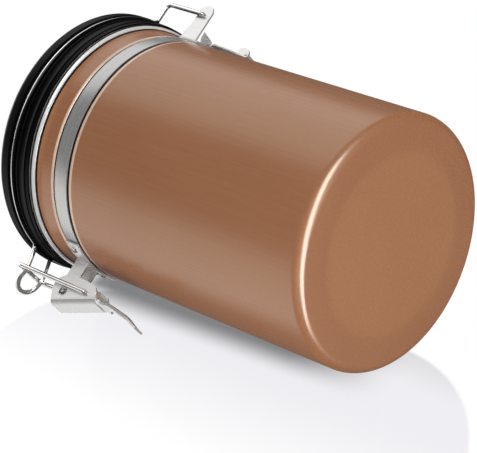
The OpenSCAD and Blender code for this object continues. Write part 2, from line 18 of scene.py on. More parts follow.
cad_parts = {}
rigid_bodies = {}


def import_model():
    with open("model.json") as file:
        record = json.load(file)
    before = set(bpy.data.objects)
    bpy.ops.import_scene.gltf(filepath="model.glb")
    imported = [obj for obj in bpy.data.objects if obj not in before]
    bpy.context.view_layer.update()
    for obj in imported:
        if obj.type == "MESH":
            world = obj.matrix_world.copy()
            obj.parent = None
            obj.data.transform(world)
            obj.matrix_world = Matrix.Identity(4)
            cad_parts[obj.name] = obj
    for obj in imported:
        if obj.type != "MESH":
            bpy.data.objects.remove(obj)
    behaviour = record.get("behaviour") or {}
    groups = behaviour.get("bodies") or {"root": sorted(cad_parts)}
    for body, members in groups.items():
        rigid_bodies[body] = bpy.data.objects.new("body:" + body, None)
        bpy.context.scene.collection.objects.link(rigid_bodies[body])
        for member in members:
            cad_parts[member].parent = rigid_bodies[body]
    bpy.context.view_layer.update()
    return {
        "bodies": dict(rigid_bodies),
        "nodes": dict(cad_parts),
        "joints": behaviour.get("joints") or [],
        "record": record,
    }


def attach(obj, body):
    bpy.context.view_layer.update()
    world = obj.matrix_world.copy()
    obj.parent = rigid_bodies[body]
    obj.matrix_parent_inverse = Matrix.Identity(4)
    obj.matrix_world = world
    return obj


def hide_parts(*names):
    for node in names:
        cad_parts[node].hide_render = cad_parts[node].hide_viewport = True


LOG = logging.getLogger("canister")
MM = 0.001
MERGE_WITHIN = 1e-7
FLAT_WITHIN = 1e-8
BEVEL_FROM = 50.0
ROUND_STEPS = 320
WIRE_SIDES = 24
SOFT_STEPS = 9
WHITE = (1.0, 1.0, 1.0, 1.0)
Array = np.ndarray
Points = Array | list | tuple


class Body(Enum):
    """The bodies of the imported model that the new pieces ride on."""

    CANISTER = "canister"
    LID = "lid"
    LEVER = "lever"
    BAIL = "bail"


class Side(Enum):
    """The side of the canister that a flat drawing of height and reach stands on."""

    LATCH = -1.0
    HINGE = 1.0


# Shader maths

class Value:
    """A shader socket that does arithmetic with numbers and with other sockets."""

    def __init__(self, graph: "Graph", socket: bpy.types.NodeSocket) -> None:
        """Wraps a socket of a graph's node tree."""
        self.graph = graph
        self.socket = socket

    def _maths(self, operation: str, first: object, second: object) -> "Value":
        """Adds one Math node. Args: its operation and two inputs. Returns its result."""
        return self.graph.node("ShaderNodeMath", {"operation": operation}, {0: first, 1: second})

    def __add__(self, other: object) -> "Value":
        """Sum."""
        return self._maths("ADD", self, other)

    def __radd__(self, other: object) -> "Value":
        """Sum with a number on the left."""
        return self._maths("ADD", other, self)

    def __sub__(self, other: object) -> "Value":
        """Difference."""
        return self._maths("SUBTRACT", self, other)

    def __rsub__(self, other: object) -> "Value":
        """Difference with a number on the left."""
        return self._maths("SUBTRACT", other, self)

    def __mul__(self, other: object) -> "Value":
        """Product."""
        return self._maths("MULTIPLY", self, other)

    def __pow__(self, other: object) -> "Value":
        """Power."""
        return self._maths("POWER", self, other)

    def ramp(self, low: float, high: float) -> "Value":
        """Fades smoothly between two limits.

        Args:
            low: where the fade is 0.
            high: where it is 1.

        Returns:
            The faded value.
        """
        return self.graph.node(
            "ShaderNodeMapRange",
            {"interpolation_type": "SMOOTHSTEP", "clamp": True},
            {"Value": self, "From Min": low, "From Max": high},
        )

    def band(self, start: float, full: float, fall: float, end: float) -> "Value":
        """1 from full to fall, fading to 0 at start and at end. Returns the faded value."""
        return self.ramp(start, full) * self.ramp(end, fall)


class Graph:
    """A node tree, emptied, that nodes are added to."""

    def __init__(self, owner: bpy.types.Material | bpy.types.World) -> None:
        """Takes over a node tree.

        Args:
            owner: the material or world it belongs to.
        """
        owner.use_nodes = True
        self.tree = owner.node_tree
        self.tree.nodes.clear()

    def node(self, kind: str, settings: dict, inputs: dict, result: str | int = 0) -> Value:
        """Adds any node.

        Args:
            kind: the node's type.
            settings: its properties, set before the sockets.
            inputs: values or sockets by input name or index.
            result: the output to give back.

        Returns:
            The wanted output, ready for arithmetic.
        """
        made = self.tree.nodes.new(kind)
        for key, setting in settings.items():
            setattr(made, key, setting)
        for key, given in inputs.items():
            self.link(made.inputs[key], given)
        return Value(self, made.outputs[result])

    def vector(self, operation: str, *inputs: object, result: str | int = "Value") -> Value:
        """Adds one Vector Math node. Args: its operation and inputs. Returns the wanted output."""
        return self.node("ShaderNodeVectorMath", {"operation": operation}, dict(enumerate(inputs)), result)

    def link(self, target: bpy.types.NodeSocket, given: object) -> None:
        """Feeds a socket.

        Args:
            target: the socket.
            given: another socket's value, or a plain one.
        """
        if isinstance(given, Value):
            self.tree.links.new(given.socket, target)
        else:
            target.default_value = given


class Dress(Graph):
    """The node tree of one finish."""

    def __init__(self, name: str) -> None:
        """Starts an empty material with its main shader and its object coordinates.

        Args:
            name: the material's name.
        """
        self.material = bpy.data.materials.new(name)
        super().__init__(self.material)
        self.shader = self.tree.nodes.new("ShaderNodeBsdfPrincipled")
        self.output = self.tree.nodes.new("ShaderNodeOutputMaterial")
        self.tree.links.new(self.shader.outputs[0], self.output.inputs[0])
        self.place = self.node("ShaderNodeTexCoord", {}, {}, "Object")

    def stretched(self, scale: tuple[float, float, float]) -> Value:
        """Object coordinates scaled by axis. Returns the vector."""
        sockets = {"Vector": self.place, "Scale": scale}
        return self.node("ShaderNodeMapping", {"vector_type": "POINT"}, sockets)

    def noise(self, where: Value, scale: float, detail: float = 3.0, rough: float = 0.5) -> Value:
        """Soft fractal noise.

        Args:
            where: the place it is read at.
            scale: how fine it is.
            detail: its octaves.
            rough: its roughness.

        Returns:
            Its strength, from 0 to 1.
        """
        return self.node(
            "ShaderNodeTexNoise",
            {"noise_dimensions": "3D"},
            {"Vector": where, "Scale": scale, "Detail": detail, "Roughness": rough},
        )

    def blend(self, share: object, first: object, second: object) -> Value:
        """Mixes two colours.

        Args:
            share: the second colour's share.
            first: the first colour.
            second: the second colour.

        Returns:
            The mixed colour.
        """
        return self.node(
            "ShaderNodeMix",
            {"data_type": "RGBA", "clamp_factor": True},
            {0: share, 6: first, 7: second},
            2,
        )

    def turned_place(self) -> tuple[Value, Value]:
        """The place in turned coordinates.

        Returns:
            The radius from the can's axis and the height above its base, in metres.
        """
        apart = self.node("ShaderNodeSeparateXYZ", {}, {0: self.place})
        x, y, z = (Value(self, apart.socket.node.outputs[i]) for i in range(3))
        return (x * x + y * y) ** 0.5, z

    def around(self) -> Value:
        """Radius, 0 and height of a point, so that a pattern on it runs round the can."""
        radius, height = self.turned_place()
        return self.node("ShaderNodeCombineXYZ", {}, {0: radius, 2: height})

    def bump(self, height: Value, depth: float, edge: float = 0.0) -> None:
        """Presses a height pattern into the surface.

        Args:
            height: the pattern, 0 to 1.
            depth: its depth in metres.
            edge: the radius in metres that rounds the piece's edges for light, or 0.
        """
        inputs: dict = {"Height": height, "Distance": depth, "Strength": 1.0}
        if edge:
            inputs["Normal"] = self.node("ShaderNodeBevel", {"samples": 6}, {"Radius": edge})
        self.link(self.shader.inputs["Normal"], self.node("ShaderNodeBump", {}, inputs))

    def set(self, **sockets: object) -> None:
        """Sets or links the main shader's sockets, with _ for each space of a name."""
        for key, given in sockets.items():
            self.link(self.shader.inputs[key.replace("_", " ")], given)


def tone(red: float, green: float, blue: float) -> tuple[float, float, float, float]:
    """Makes a linear colour with full cover from screen levels.

    Args:
        red: its red, from 0 to 255.
        green: its green.
        blue: its blue.

    Returns:
        The colour.
    """
    def straight(level: float) -> float:
        """One screen level made linear."""
        share = level / 255.0
        return share / 12.92 if share <= 0.04045 else ((share + 0.055) / 1.055) ** 2.4
    return (straight(red), straight(green), straight(blue), 1.0)


# Finishes

@dataclass(frozen=True)
class CopperPaint:
    """Satin copper-brown paint with a fine mica sparkle over drawn steel.

    By height and radius, in metres, it has painted highlights as pale lines beside the band's
    groove, and painted shade as a dark line in the gap under the rim.
    """

    slot: str = "painted_can"
    deep: tuple = tone(172, 115, 80)
    pale: tuple = tone(180, 122, 86)
    light: tuple = tone(190, 134, 92)
    gleam: tuple = (1.0, 0.95, 0.77, 1.0)
    level: float = 0.9
    roughness: float = 0.28
    # Colour of the painted highlights beside the band's groove.
    shine: tuple = tone(255, 226, 203)
    # Colour of the painted shade in the gap under the rim.
    gap: tuple = tone(16, 11, 9)
    grain: float = 0.0000015
    drawn_stretch: tuple = (1.0, 1.0, 0.03)
    drawn_scale: float = 900.0
    cloud_scale: float = 14.0
    cloud: tuple = (0.3, 0.7)
    mica_scale: float = 5200.0
    mica: tuple = (0.45, 0.75)
    circle: tuple = (0.0425, 0.0395)
    base: tuple = (0.003, 0.002)
    circle_share: float = 0.45
    # Painted highlights: the heights of the pale lines on the groove's shoulders, the radius past which they
    # show, and their share.
    groove_highlights: tuple = ((0.1407, 0.141, 0.1421, 0.1424), (0.1533, 0.1536, 0.1545, 0.1548))
    groove_highlights_past: tuple = (0.0569, 0.0572)
    groove_highlights_share: float = 0.8
    # Painted shade: the heights and radius of the dark line in the gap under the rim.
    under_rim_shade: tuple = (0.1632, 0.1635)
    under_rim_shade_past: tuple = (0.058, 0.0581)

    def make(self) -> bpy.types.Material:
        """Builds the material.

        Returns:
            The material.
        """
        dress = Dress(self.slot)
        drawn = dress.noise(dress.stretched(self.drawn_stretch), self.drawn_scale)
        cloud = dress.noise(dress.place, self.cloud_scale)
        mica = dress.noise(dress.place, self.mica_scale, 1.0)
        share = cloud.ramp(*self.cloud) * 0.6 + mica.ramp(*self.mica) * 0.2
        radius, height = dress.turned_place()
        inner = radius.ramp(*self.circle) * height.ramp(*self.base) * self.circle_share
        plain = dress.blend(inner, dress.blend(share, self.deep, self.pale), self.light)
        # Painted highlights: pale lines on the shoulders of the band's groove.
        groove_highlights = sum(height.band(*line) for line in self.groove_highlights) * radius.ramp(*self.groove_highlights_past)
        highlighted = dress.blend(groove_highlights * self.groove_highlights_share, plain, self.shine)
        # Painted shade: a dark line below the rim, in the gap between the rim and the neck.
        under_rim_shade = height.ramp(*self.under_rim_shade) * radius.ramp(*self.under_rim_shade_past)
        dress.set(
            Base_Color=dress.blend(under_rim_shade, highlighted, self.gap),
            Roughness=self.roughness + drawn * 0.02 - mica * 0.04,
            Specular_IOR_Level=self.level,
            Specular_Tint=self.gleam,
        )
        dress.bump(drawn * 0.05 + mica * 0.25, self.grain)
        return dress.material


@dataclass(frozen=True)
class Steel:
    """Stainless steel, with a grain that runs round the can, along it, or nowhere.

    With a lit band of heights, in metres, the steel is painted dark outside that band and within
    the radii of lit_past: a painted reflection of the black collar.
    """

    slot: str
    name: str
    colour: tuple
    roughness: float
    grain_round: bool = False
    grain_scale: float = 2500.0
    stretch: tuple = (1.0, 1.0, 1.0)
    depth: float = 0.000003
    edge: float = 0.0
    metal: float = 1.0
    smear_scale: float = 60.0
    dark_share: float = 0.86
    lit: tuple = ()
    lit_past: tuple = (1.0, 2.0)
    painted_collar_reflection: tuple = (0.01, 0.01, 0.01, 1.0)

    def make(self) -> bpy.types.Material:
        """Builds the material.

        Returns:
            The material.
        """
        dress = Dress(self.name)
        where = dress.around() if self.grain_round else dress.stretched(self.stretch)
        grain = dress.noise(where, self.grain_scale, 4.0, 0.6)
        smear = dress.noise(dress.place, self.smear_scale)
        dark = tuple(level * self.dark_share for level in self.colour[:3]) + (1.0,)
        colour = dress.blend(grain.ramp(0.35, 0.65) * 0.6 + smear * 0.3, dark, self.colour)
        # Painted reflection of the black collar: dark outside the lit band.
        if self.lit:
            radius, height = dress.turned_place()
            shown = height.band(*self.lit) + radius.ramp(*self.lit_past)
            colour = dress.blend(shown, self.painted_collar_reflection, colour)
        dress.set(
            Base_Color=colour,
            Metallic=self.metal,
            Roughness=self.roughness + (grain - 0.5) * 0.12 + smear.ramp(0.45, 0.75) * 0.05,
        )
        dress.bump(grain, self.depth, self.edge)
        return dress.material


@dataclass(frozen=True)
class Moulded:
    """Rubber, silicone, felt or plastic: a soft sheen over a fine moulded grain."""

    slot: str
    name: str
    deep: tuple
    pale: tuple
    roughness: float
    grain_scale: float = 1800.0
    depth: float = 0.00001
    shine: float = 0.5
    edge: float = 0.0
    worn_scale: float = 90.0

    def make(self) -> bpy.types.Material:
        """Builds the material.

        Returns:
            The material.
        """
        dress = Dress(self.name)
        grain = dress.noise(dress.place, self.grain_scale, 3.0, 0.6)
        worn = dress.noise(dress.place, self.worn_scale, 4.0, 0.65)
        dress.set(
            Base_Color=dress.blend(grain * 0.4 + worn.ramp(0.4, 0.75) * 0.6, self.deep, self.pale),
            Roughness=self.roughness + (grain - 0.5) * 0.12 + worn.ramp(0.5, 0.8) * 0.06,
            Specular_IOR_Level=self.shine,
        )
        dress.bump(grain, self.depth, self.edge)
        return dress.material


@dataclass(frozen=True)
class PaleFloor:
    """A white floor, seen from above only, with a painted shadow and a painted reflection of the can.

    The shadow and the reflection are painted by place, in metres from its middle across and along
    the can. It is clear outside them.
    """

    middle: tuple
    across: tuple
    along: tuple
    colour: tuple = (0.02, 0.02, 0.02, 1.0)
    # The floor's colours: a painted contact shadow by the can, then the painted reflection of the can, pale,
    # darker near the can, and white far off.
    shade: tuple = tone(128, 129, 131)
    reflection_pale: tuple = tone(237, 236, 240)
    low: tuple = tone(221, 221, 223)
    far: tuple = WHITE
    gloss: float = 0.14
    shine: float = 0.1
    shade_edge: tuple = (0.0455, 0.03)
    shade_ends: tuple = ((0.1, 0.035), (-0.108, -0.088))
    slant: float = 0.03
    # Where the painted reflection fades to white, and where it darkens toward the can.
    lift: tuple = (0.04, 0.115)
    reflection_deepening: tuple = (0.027, 0.005)
    # The outline of the painted reflection.
    reflection_side: tuple = (0.003, -0.003)
    reflection_ends: tuple = ((1.0, 0.0853, 0.0859, 0.0799), (-1.0, 0.085, -0.06, 0.053))
    soft: float = 0.0015
    fade: tuple = (0.42, 0.75)

    def outside(self, out: Value, end: Value) -> Value:
        """How far a place lies outside the patch, a strip with two round ends.

        Args:
            out: distance from the can's line of contact.
            end: distance along the can from its middle, to the base.

        Returns:
            How far a place lies outside the painted reflection of the can, a strip with two round ends.
        """
        inside = 1 - out.ramp(*self.reflection_side)
        for sign, middle, start, radius in self.reflection_ends:
            past = (end - start) * sign
            reach = ((out - middle) ** 2.0 + past * past) ** 0.5
            beyond = reach.ramp(radius - self.soft, radius + self.soft)
            inside = inside * (1 - past.ramp(-self.soft, self.soft) * beyond)
        return 1 - inside

    def make(self) -> bpy.types.Material:
        """Builds the material.

        Returns:
            The material.
        """
        dress = Dress("pale_floor")
        offset = dress.vector("SUBTRACT", dress.place, self.middle, result="Vector")
        out, end = (dress.vector("DOT_PRODUCT", offset, way) for way in (self.across, self.along))
        # Painted contact shadow beside the can, fading at both ends.
        shade = ((out * out) ** 0.5 + end * self.slant).ramp(*self.shade_edge)
        for edge in self.shade_ends:
            shade = shade * end.ramp(*edge)
        # Painted reflection of the can: pale, darker toward the can, white away from it and outside its
        # outline.
        outside = self.outside(out, end)
        close = dress.blend(out.ramp(*self.reflection_deepening), self.reflection_pale, self.low)
        pale = dress.blend(out.ramp(*self.lift), close, self.far)
        dress.set(
            Base_Color=self.colour,
            Roughness=self.gloss,
            Specular_IOR_Level=self.shine,
            Emission_Color=dress.blend(shade, dress.blend(outside, pale, self.far), self.shade),
            Emission_Strength=1.0,
        )
        clear = dress.node("ShaderNodeBsdfTransparent", {}, {})
        behind = dress.node("ShaderNodeNewGeometry", {}, {}, "Backfacing")
        away = dress.vector("LENGTH", offset)
        open_share = 1 - (1 - behind) * (1 - away.ramp(*self.fade)) * (1 - outside * (1 - shade))
        shown = dress.node(
            "ShaderNodeMixShader", {}, {0: open_share, 1: Value(dress, dress.shader.outputs[0]), 2: clear}
        )
        dress.link(dress.output.inputs[0], shown)
        return dress.material


PAINT = CopperPaint()
BAND_STEEL = Steel("brushed_steel", "band_steel", tone(212, 211, 210), 0.27, grain_round=True, metal=0.6)
# The rim's upper part carries the painted reflection of the black collar.
RIM_STEEL = Steel(
    "polished_steel", "rim_steel", tone(250, 249, 247), 0.24, grain_round=True, depth=0.0000005, metal=0.5,
    lit=(0.1639, 0.1641, 0.1653, 0.1657),
)
COVER_STEEL = Steel("brushed_steel", "cover_steel", tone(205, 205, 206), 0.3, grain_round=True, edge=0.0002)
WIRE_STEEL = Steel("polished_steel", "wire_steel", tone(240, 239, 238), 0.16, grain_scale=900.0, metal=0.9)
# The hoop's lower part, in the collar's groove, carries the painted reflection of the black collar.
HOOP_STEEL = replace(
    WIRE_STEEL, name="hoop_steel", lit=(0.1772, 0.1775, 0.19, 0.191), lit_past=(0.0628, 0.0632),
    painted_collar_reflection=tone(40, 40, 40),
)
SHEET_STEEL = Steel(
    "sheet_steel", "pressed_steel", tone(236, 235, 234), 0.24, stretch=(3.0, 1.0, 0.12), metal=0.5
)
RIVET_STEEL = Steel("rivet_steel", "rivet_steel", tone(230, 229, 227), 0.16, grain_scale=1400.0)
COLLAR_RUBBER = Moulded("black_collar", "collar_rubber", tone(3, 3, 3), tone(9, 9, 9), 0.4, shine=0.12)
VALVE_PLASTIC = Moulded(
    "valve_plastic", "valve_plastic", tone(22, 22, 23), tone(38, 38, 39), 0.45, 2600.0, 0.00002, edge=0.0002
)
SILICONE = Moulded("pale_silicone", "silicone", tone(222, 220, 213), tone(236, 234, 228), 0.42, 1200.0)
FELT = Moulded("filter_felt", "filter_felt", tone(216, 212, 200), tone(240, 237, 228), 0.9, 3500.0, 0.0001)
RED_RUBBER = Moulded("red_rubber", "red_rubber", tone(120, 22, 16), tone(150, 34, 26), 0.4)


# Shapes

@dataclass(frozen=True)
class Shape:
    """Points in millimetres, and the faces between them."""

    points: Array
    faces: list

    def __add__(self, other: "Shape") -> "Shape":
        """Joins two shapes.

        Args:
            other: the second shape.

        Returns:
            Both shapes in one.
        """
        shift = len(self.points)
        moved = [tuple(i + shift for i in face) for face in other.faces]
        return Shape(np.vstack([self.points, other.points]), self.faces + moved)


def grid(points: Array, wrap_rows: bool, wrap_columns: bool) -> Shape:
    """Quads over a grid of points.

    Args:
        points: rows by columns by 3.
        wrap_rows: whether the last row joins the first.
        wrap_columns: whether the last column joins the first.

    Returns:
        The shape.
    """
    rows, columns = points.shape[:2]
    row = np.arange(rows if wrap_rows else rows - 1)[:, None]
    column = np.arange(columns if wrap_columns else columns - 1)[None, :]
    below, right = (row + 1) % rows, (column + 1) % columns
    here, there = row * columns, below * columns
    corners = np.broadcast_arrays(here + column, here + right, there + right, there + column)
    faces = np.stack(corners, axis=-1).reshape(-1, 4)
    return Shape(points.reshape(-1, 3), [tuple(face) for face in faces.tolist()])


def arc(centre: Points, radius: float, start: float, end: float, steps: int) -> Array:
    """Points round a centre from one angle to another, in degrees."""
    turn = np.radians(np.linspace(start, end, steps + 1))
    return np.asarray(centre) + radius * np.column_stack([np.cos(turn), np.sin(turn)])


def unit(vectors: Points) -> Array:
    """A vector, or each of a row of vectors, at length 1."""
    return vectors / np.linalg.norm(vectors, axis=-1, keepdims=True)


def softened(corners: Points, rounds: Points, steps: int, closed: bool = True) -> Array:
    """Rounds each corner of a line with a quadratic curve between two points beside it.

    Args:
        corners: the line's corners, each a row.
        rounds: how far along both sides each corner is rounded, cut to 0.48 of a side.
        steps: points per corner.
        closed: whether the last corner joins the first.

    Returns:
        The softened line.
    """
    corners = np.asarray(corners, float)
    before, after = np.roll(corners, 1, 0) - corners, np.roll(corners, -1, 0) - corners
    long_before = np.maximum(np.linalg.norm(before, axis=1), 1e-9)
    long_after = np.maximum(np.linalg.norm(after, axis=1), 1e-9)
    cut = np.minimum(rounds, 0.48 * np.minimum(long_before, long_after))
    start = corners + before * (cut / long_before)[:, None]
    end = corners + after * (cut / long_after)[:, None]
    share = np.linspace(0.0, 1.0, steps + 1)[None, :, None]
    bend = 2 * share * (1 - share) * corners[:, None]
    curve = (1 - share) ** 2 * start[:, None] + bend + share**2 * end[:, None]
    if closed:
        return curve.reshape(-1, corners.shape[1])
    inner = curve[1:-1].reshape(-1, corners.shape[1])
    return np.vstack([corners[:1], inner, corners[-1:]])


def section(inner: float, outer: float, low: float, high: float, rounds: Points, steps: int) -> Array:
    """The section of a ring, with rounded corners.

    Args:
        inner: its inner radius.
        outer: its outer radius.
        low: the height of its lower face.
        high: the height of its upper face.
        rounds: how far each corner is rounded, from the lower inner one on.
        steps: points per corner.

    Returns:
        Radii and heights.
    """
    return softened([[inner, low], [outer, low], [outer, high], [inner, high]], rounds, steps)


def mirrored(half: Array) -> Array:
    """A path that ends in the can's middle plane, with its mirror image after it."""
    return np.vstack([half, half[-2::-1] * [-1.0, 1.0, 1.0]])


def turned(
    profile: Array, segments: int = ROUND_STEPS, middle: float = 0.0, sweep: float = 360.0
) -> Shape:
    """Carries a closed outline of radii and heights round the can's axis.

    Args:
        profile: radius and height of each point of the outline.
        segments: steps round a full turn.
        middle: the angle of the middle of a part turn, in degrees from +X.
        sweep: how far round it goes, in degrees.

    Returns:
        The closed shape; a part turn has flat ends.
    """
    full = sweep >= 360.0
    count = segments if full else max(4, int(segments * sweep / 360.0)) + 1
    turn = np.radians(middle + np.linspace(-sweep / 2, sweep / 2, count + full)[:count])
    radius, height = profile[:, 0], profile[:, 1]
    x, y = (way(turn)[:, None] * radius for way in (np.cos, np.sin))
    shape = grid(np.stack([x, y, np.broadcast_to(height, x.shape)], axis=-1), full, True)
    if full:
        return shape
    ring = tuple(range(len(profile)))
    last = tuple((count - 1) * len(profile) + i for i in ring)
    return Shape(shape.points, shape.faces + [ring, last[::-1]])


def capped(shape: Shape, sides: int) -> Shape:
    """Closes both ends of a tube.

    Args:
        shape: the tube.
        sides: its points per ring.

    Returns:
        The closed tube.
    """
    first = tuple(range(sides))
    last = tuple(len(shape.points) - sides + i for i in first)
    return Shape(shape.points, shape.faces + [first[::-1], last])


def tube(path: Array, radius: float, sides: int = WIRE_SIDES) -> Shape:
    """Carries a circle along a path.

    The circle's first direction is the path's heading crossed with the slanting line (1, 1, 1),
    which no part of these wires runs along, so that the circle never turns over.

    Args:
        path: points along the wire.
        radius: the wire's radius.
        sides: points round the wire.

    Returns:
        The closed tube with flat ends.
    """
    heading = unit(np.gradient(path, axis=0))
    across = unit(np.cross(heading, unit(np.ones(3))))
    other = np.cross(heading, across)
    turn = np.linspace(0.0, 2 * np.pi, sides, endpoint=False)
    ring = np.cos(turn)[None, :, None] * across[:, None] + np.sin(turn)[None, :, None] * other[:, None]
    return capped(grid(path[:, None] + radius * ring, False, True), sides)


def standing(drawing: Array, side: Side, across: float) -> Array:
    """Puts a drawing of reach and height on one side of the can. Returns points in space."""
    return np.column_stack([np.full(len(drawing), across), side.value * drawing[:, 0], drawing[:, 1]])


def slab(drawing: Array, side: Side, across: float, thickness: float) -> Shape:
    """A flat plate with the outline of a drawing, centred at a place across the can.

    Args:
        drawing: reach and height of the outline's points.
        side: the side of the canister it stands on.
        across: the place of the plate's middle along X.
        thickness: its thickness along X.

    Returns:
        The closed plate.
    """
    layers = np.stack([standing(drawing, side, across + thickness * half) for half in (-0.5, 0.5)])
    return capped(grid(layers, False, True), len(drawing))


def twins(drawing: Array, side: Side, outer: float, thickness: float) -> Shape:
    """Two plates alike, as far from the can's middle plane on one side as on the other.

    Args:
        drawing: reach and height of the outline's points.
        side: the side of the canister they stand on.
        outer: how far along X their outer faces are.
        thickness: their thickness along X.

    Returns:
        Both closed plates.
    """
    place = outer - thickness / 2
    return slab(drawing, side, -place, thickness) + slab(drawing, side, place, thickness)


def ribbon(path: Array, thickness: float) -> Array:
    """Makes a strip of even thickness along an open path.

    Args:
        path: the path, in two dimensions.
        thickness: the strip's thickness.

    Returns:
        Its closed outline.
    """
    heading = unit(np.gradient(path, axis=0))
    normal = np.column_stack([-heading[:, 1], heading[:, 0]]) * thickness / 2
    return np.vstack([path + normal, (path - normal)[::-1]])


def knob(profile: Array, centre: Points, axis: Points, segments: int) -> Shape:
    """Carries an outline of radii and heights round an axis of its own.

    Args:
        profile: radius and height along the axis, closed.
        centre: where the outline's zero height is.
        axis: the direction of the axis.
        segments: steps round a full turn.

    Returns:
        The closed shape.
    """
    shape = turned(profile, segments)
    axis = unit(axis)
    helper = np.array([0.0, 0.0, 1.0]) if abs(axis[2]) < 0.9 else np.array([1.0, 0.0, 0.0])
    right = unit(np.cross(helper, axis))
    frame = np.stack([right, np.cross(axis, right), axis])
    return Shape(shape.points @ frame + np.asarray(centre, float), shape.faces)


def smooth(share: Array) -> Array:
    """A soft step from 0 to 1, half a cosine wave, level outside."""
    return (1 - np.cos(np.pi * np.clip(share, 0.0, 1.0))) / 2


def placed(name: str, data: bpy.types.ID) -> bpy.types.Object:
    """Puts a mesh, light or camera in the scene.

    Args:
        name: the object's name.
        data: what it shows.

    Returns:
        The object.
    """
    made = bpy.data.objects.new(name, data)
    bpy.context.scene.collection.objects.link(made)
    return made


class Workshop:
    """Makes each piece's mesh and object, and keeps the finishes made so far."""

    def __init__(self) -> None:
        """Starts with no finish made."""
        self.materials: dict[str, bpy.types.Material] = {}

    def finish(self, finish: object) -> bpy.types.Material:
        """Makes the material of a finish, once.

        Args:
            finish: the finish.

        Returns:
            Its material.
        """
        key = repr(finish)
        if key not in self.materials:
            self.materials[key] = finish.make()
        return self.materials[key]

    def piece(
        self,
        name: str,
        shape: Shape,
        finish: object,
        body: Body,
        nodes: tuple[str, ...] = (),
        bevel: float = 0.0,
        sharp: float = 40.0,
        thickness: float = 0.0,
    ) -> bpy.types.Object:
        """Makes a piece, dresses it and gives it to its body.

        Args:
            name: the piece's name.
            shape: its points and faces.
            finish: its finish.
            body: the body that it moves with.
            nodes: the CAD nodes that it stands for.
            bevel: the width of its rounded edges.
            sharp: the angle in degrees past which an edge stays crisp.
            thickness: the wall that an open surface gets, inward.

        Returns:
            The new object.
        """
        mesh = bpy.data.meshes.new(name)
        mesh.from_pydata((shape.points * MM).tolist(), [], shape.faces)
        work = bmesh.new()
        work.from_mesh(mesh)
        bmesh.ops.remove_doubles(work, verts=work.verts, dist=MERGE_WITHIN)
        bmesh.ops.dissolve_degenerate(work, edges=work.edges, dist=FLAT_WITHIN)
        bmesh.ops.recalc_face_normals(work, faces=work.faces)
        work.to_mesh(mesh)
        work.free()
        mesh.shade_smooth()
        mesh.set_sharp_from_angle(angle=math.radians(sharp))
        mesh.materials.append(self.finish(finish))
        made = placed(name, mesh)
        if thickness:
            wall = made.modifiers.new("wall", "SOLIDIFY")
            wall.thickness, wall.offset, wall.use_even_offset = thickness * MM, -1.0, True
        if bevel:
            edge = made.modifiers.new("edges", "BEVEL")
            edge.width, edge.segments, edge.limit_method = bevel * MM, 2, "ANGLE"
            edge.angle_limit, edge.use_clamp_overlap = math.radians(BEVEL_FROM), True
            edge.harden_normals = True
        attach(made, body.value)
        if nodes:
            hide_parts(*nodes)
        LOG.info("%s: %d faces on %s", name, len(mesh.polygons), body.value)
        return made

    def dress(self, nodes: dict, name: str, finish: object) -> None:
        """Gives a CAD node its finish.

        Args:
            nodes: the CAD nodes by name.
            name: the node's name.
            finish: the finish.
        """
        slots = nodes[name].data.materials
        slots.clear()
        slots.append(self.finish(finish))
        LOG.info("%s: dressed", name)


# Sub-assemblies

@dataclass
class Can:
    """The drawn and painted can with its rolled steel rim."""

    radius: float = 58.0
    height: float = 164.3
    wall: float = 0.8
    base_edge: float = 4.5
    recess: float = 41.0
    recess_depth: float = 0.25
    recess_soft: float = 8.0
    flare: float = 1.3
    flare_height: float = 4.0
    groove: float = 57.3
    groove_low: float = 143.3
    groove_high: float = 153.4
    shoulder: float = 0.5
    shoulder_turn: float = 65.0
    corner: float = 0.15
    straight_low: float = 8.0
    straight_end: float = 4.0
    rim: float = 1.6

    def side(self, inset: float) -> Array:
        """One face of the sheet going up: base edge, groove for the band, flared neck.

        Args:
            inset: how far inside the outer face it lies.

        Returns:
            Radii and heights from the base to the top.
        """
        rise = np.linspace(0.0, 1.0, SOFT_STEPS)
        edge = arc((self.radius - self.base_edge, self.base_edge), self.base_edge - inset, -90, 0, 16)
        turn = self.radius - self.groove + self.shoulder
        below = arc((self.radius - turn, self.groove_low - turn), turn, 0, self.shoulder_turn, 10)
        above = arc((self.radius - turn, self.groove_high + turn), turn, -self.shoulder_turn, 0, 10)
        floor = [[self.groove, self.groove_low + self.corner], [self.groove, self.groove_high - self.corner]]
        groove = np.vstack([below, floor, above]) - [inset, 0.0]
        neck = np.column_stack([
            self.radius - inset + self.flare * (1 - np.cos(np.pi / 2 * rise)),
            self.height - self.flare_height * (1 - rise),
        ])
        straight = np.linspace(self.straight_low, self.groove_low - self.straight_end, 11)
        long = np.column_stack([np.full(len(straight), self.radius - inset), straight])
        return np.vstack([edge, long, groove, neck])

    def build(self, shop: Workshop) -> None:
        """Makes the can and its rim.

        Args:
            shop: takes the pieces.
        """
        share = np.linspace(0.0, 1.0, SOFT_STEPS)
        outside = np.column_stack([
            self.recess + self.recess_soft * (share - 0.5), self.recess_depth * (1 - smooth(share))
        ])
        floor = np.column_stack([
            np.linspace(0.0, self.recess - self.recess_soft, 8), np.full(8, self.recess_depth)
        ])
        profile = np.vstack([
            floor, outside, self.side(0.0), self.side(self.wall)[::-1], outside[::-1] + [0.0, self.wall],
            floor[::-1] + [0.0, self.wall],
        ])
        shop.piece("can_shell", turned(profile), PAINT, Body.CANISTER, ("can",))
        middle = (self.radius + self.flare - self.wall / 2, self.height + self.rim)
        roll = turned(arc(middle, self.rim, 0, 360, 32)[:-1])
        shop.piece("rim_roll", roll, RIM_STEEL, Body.CANISTER, ("rim_bead",))


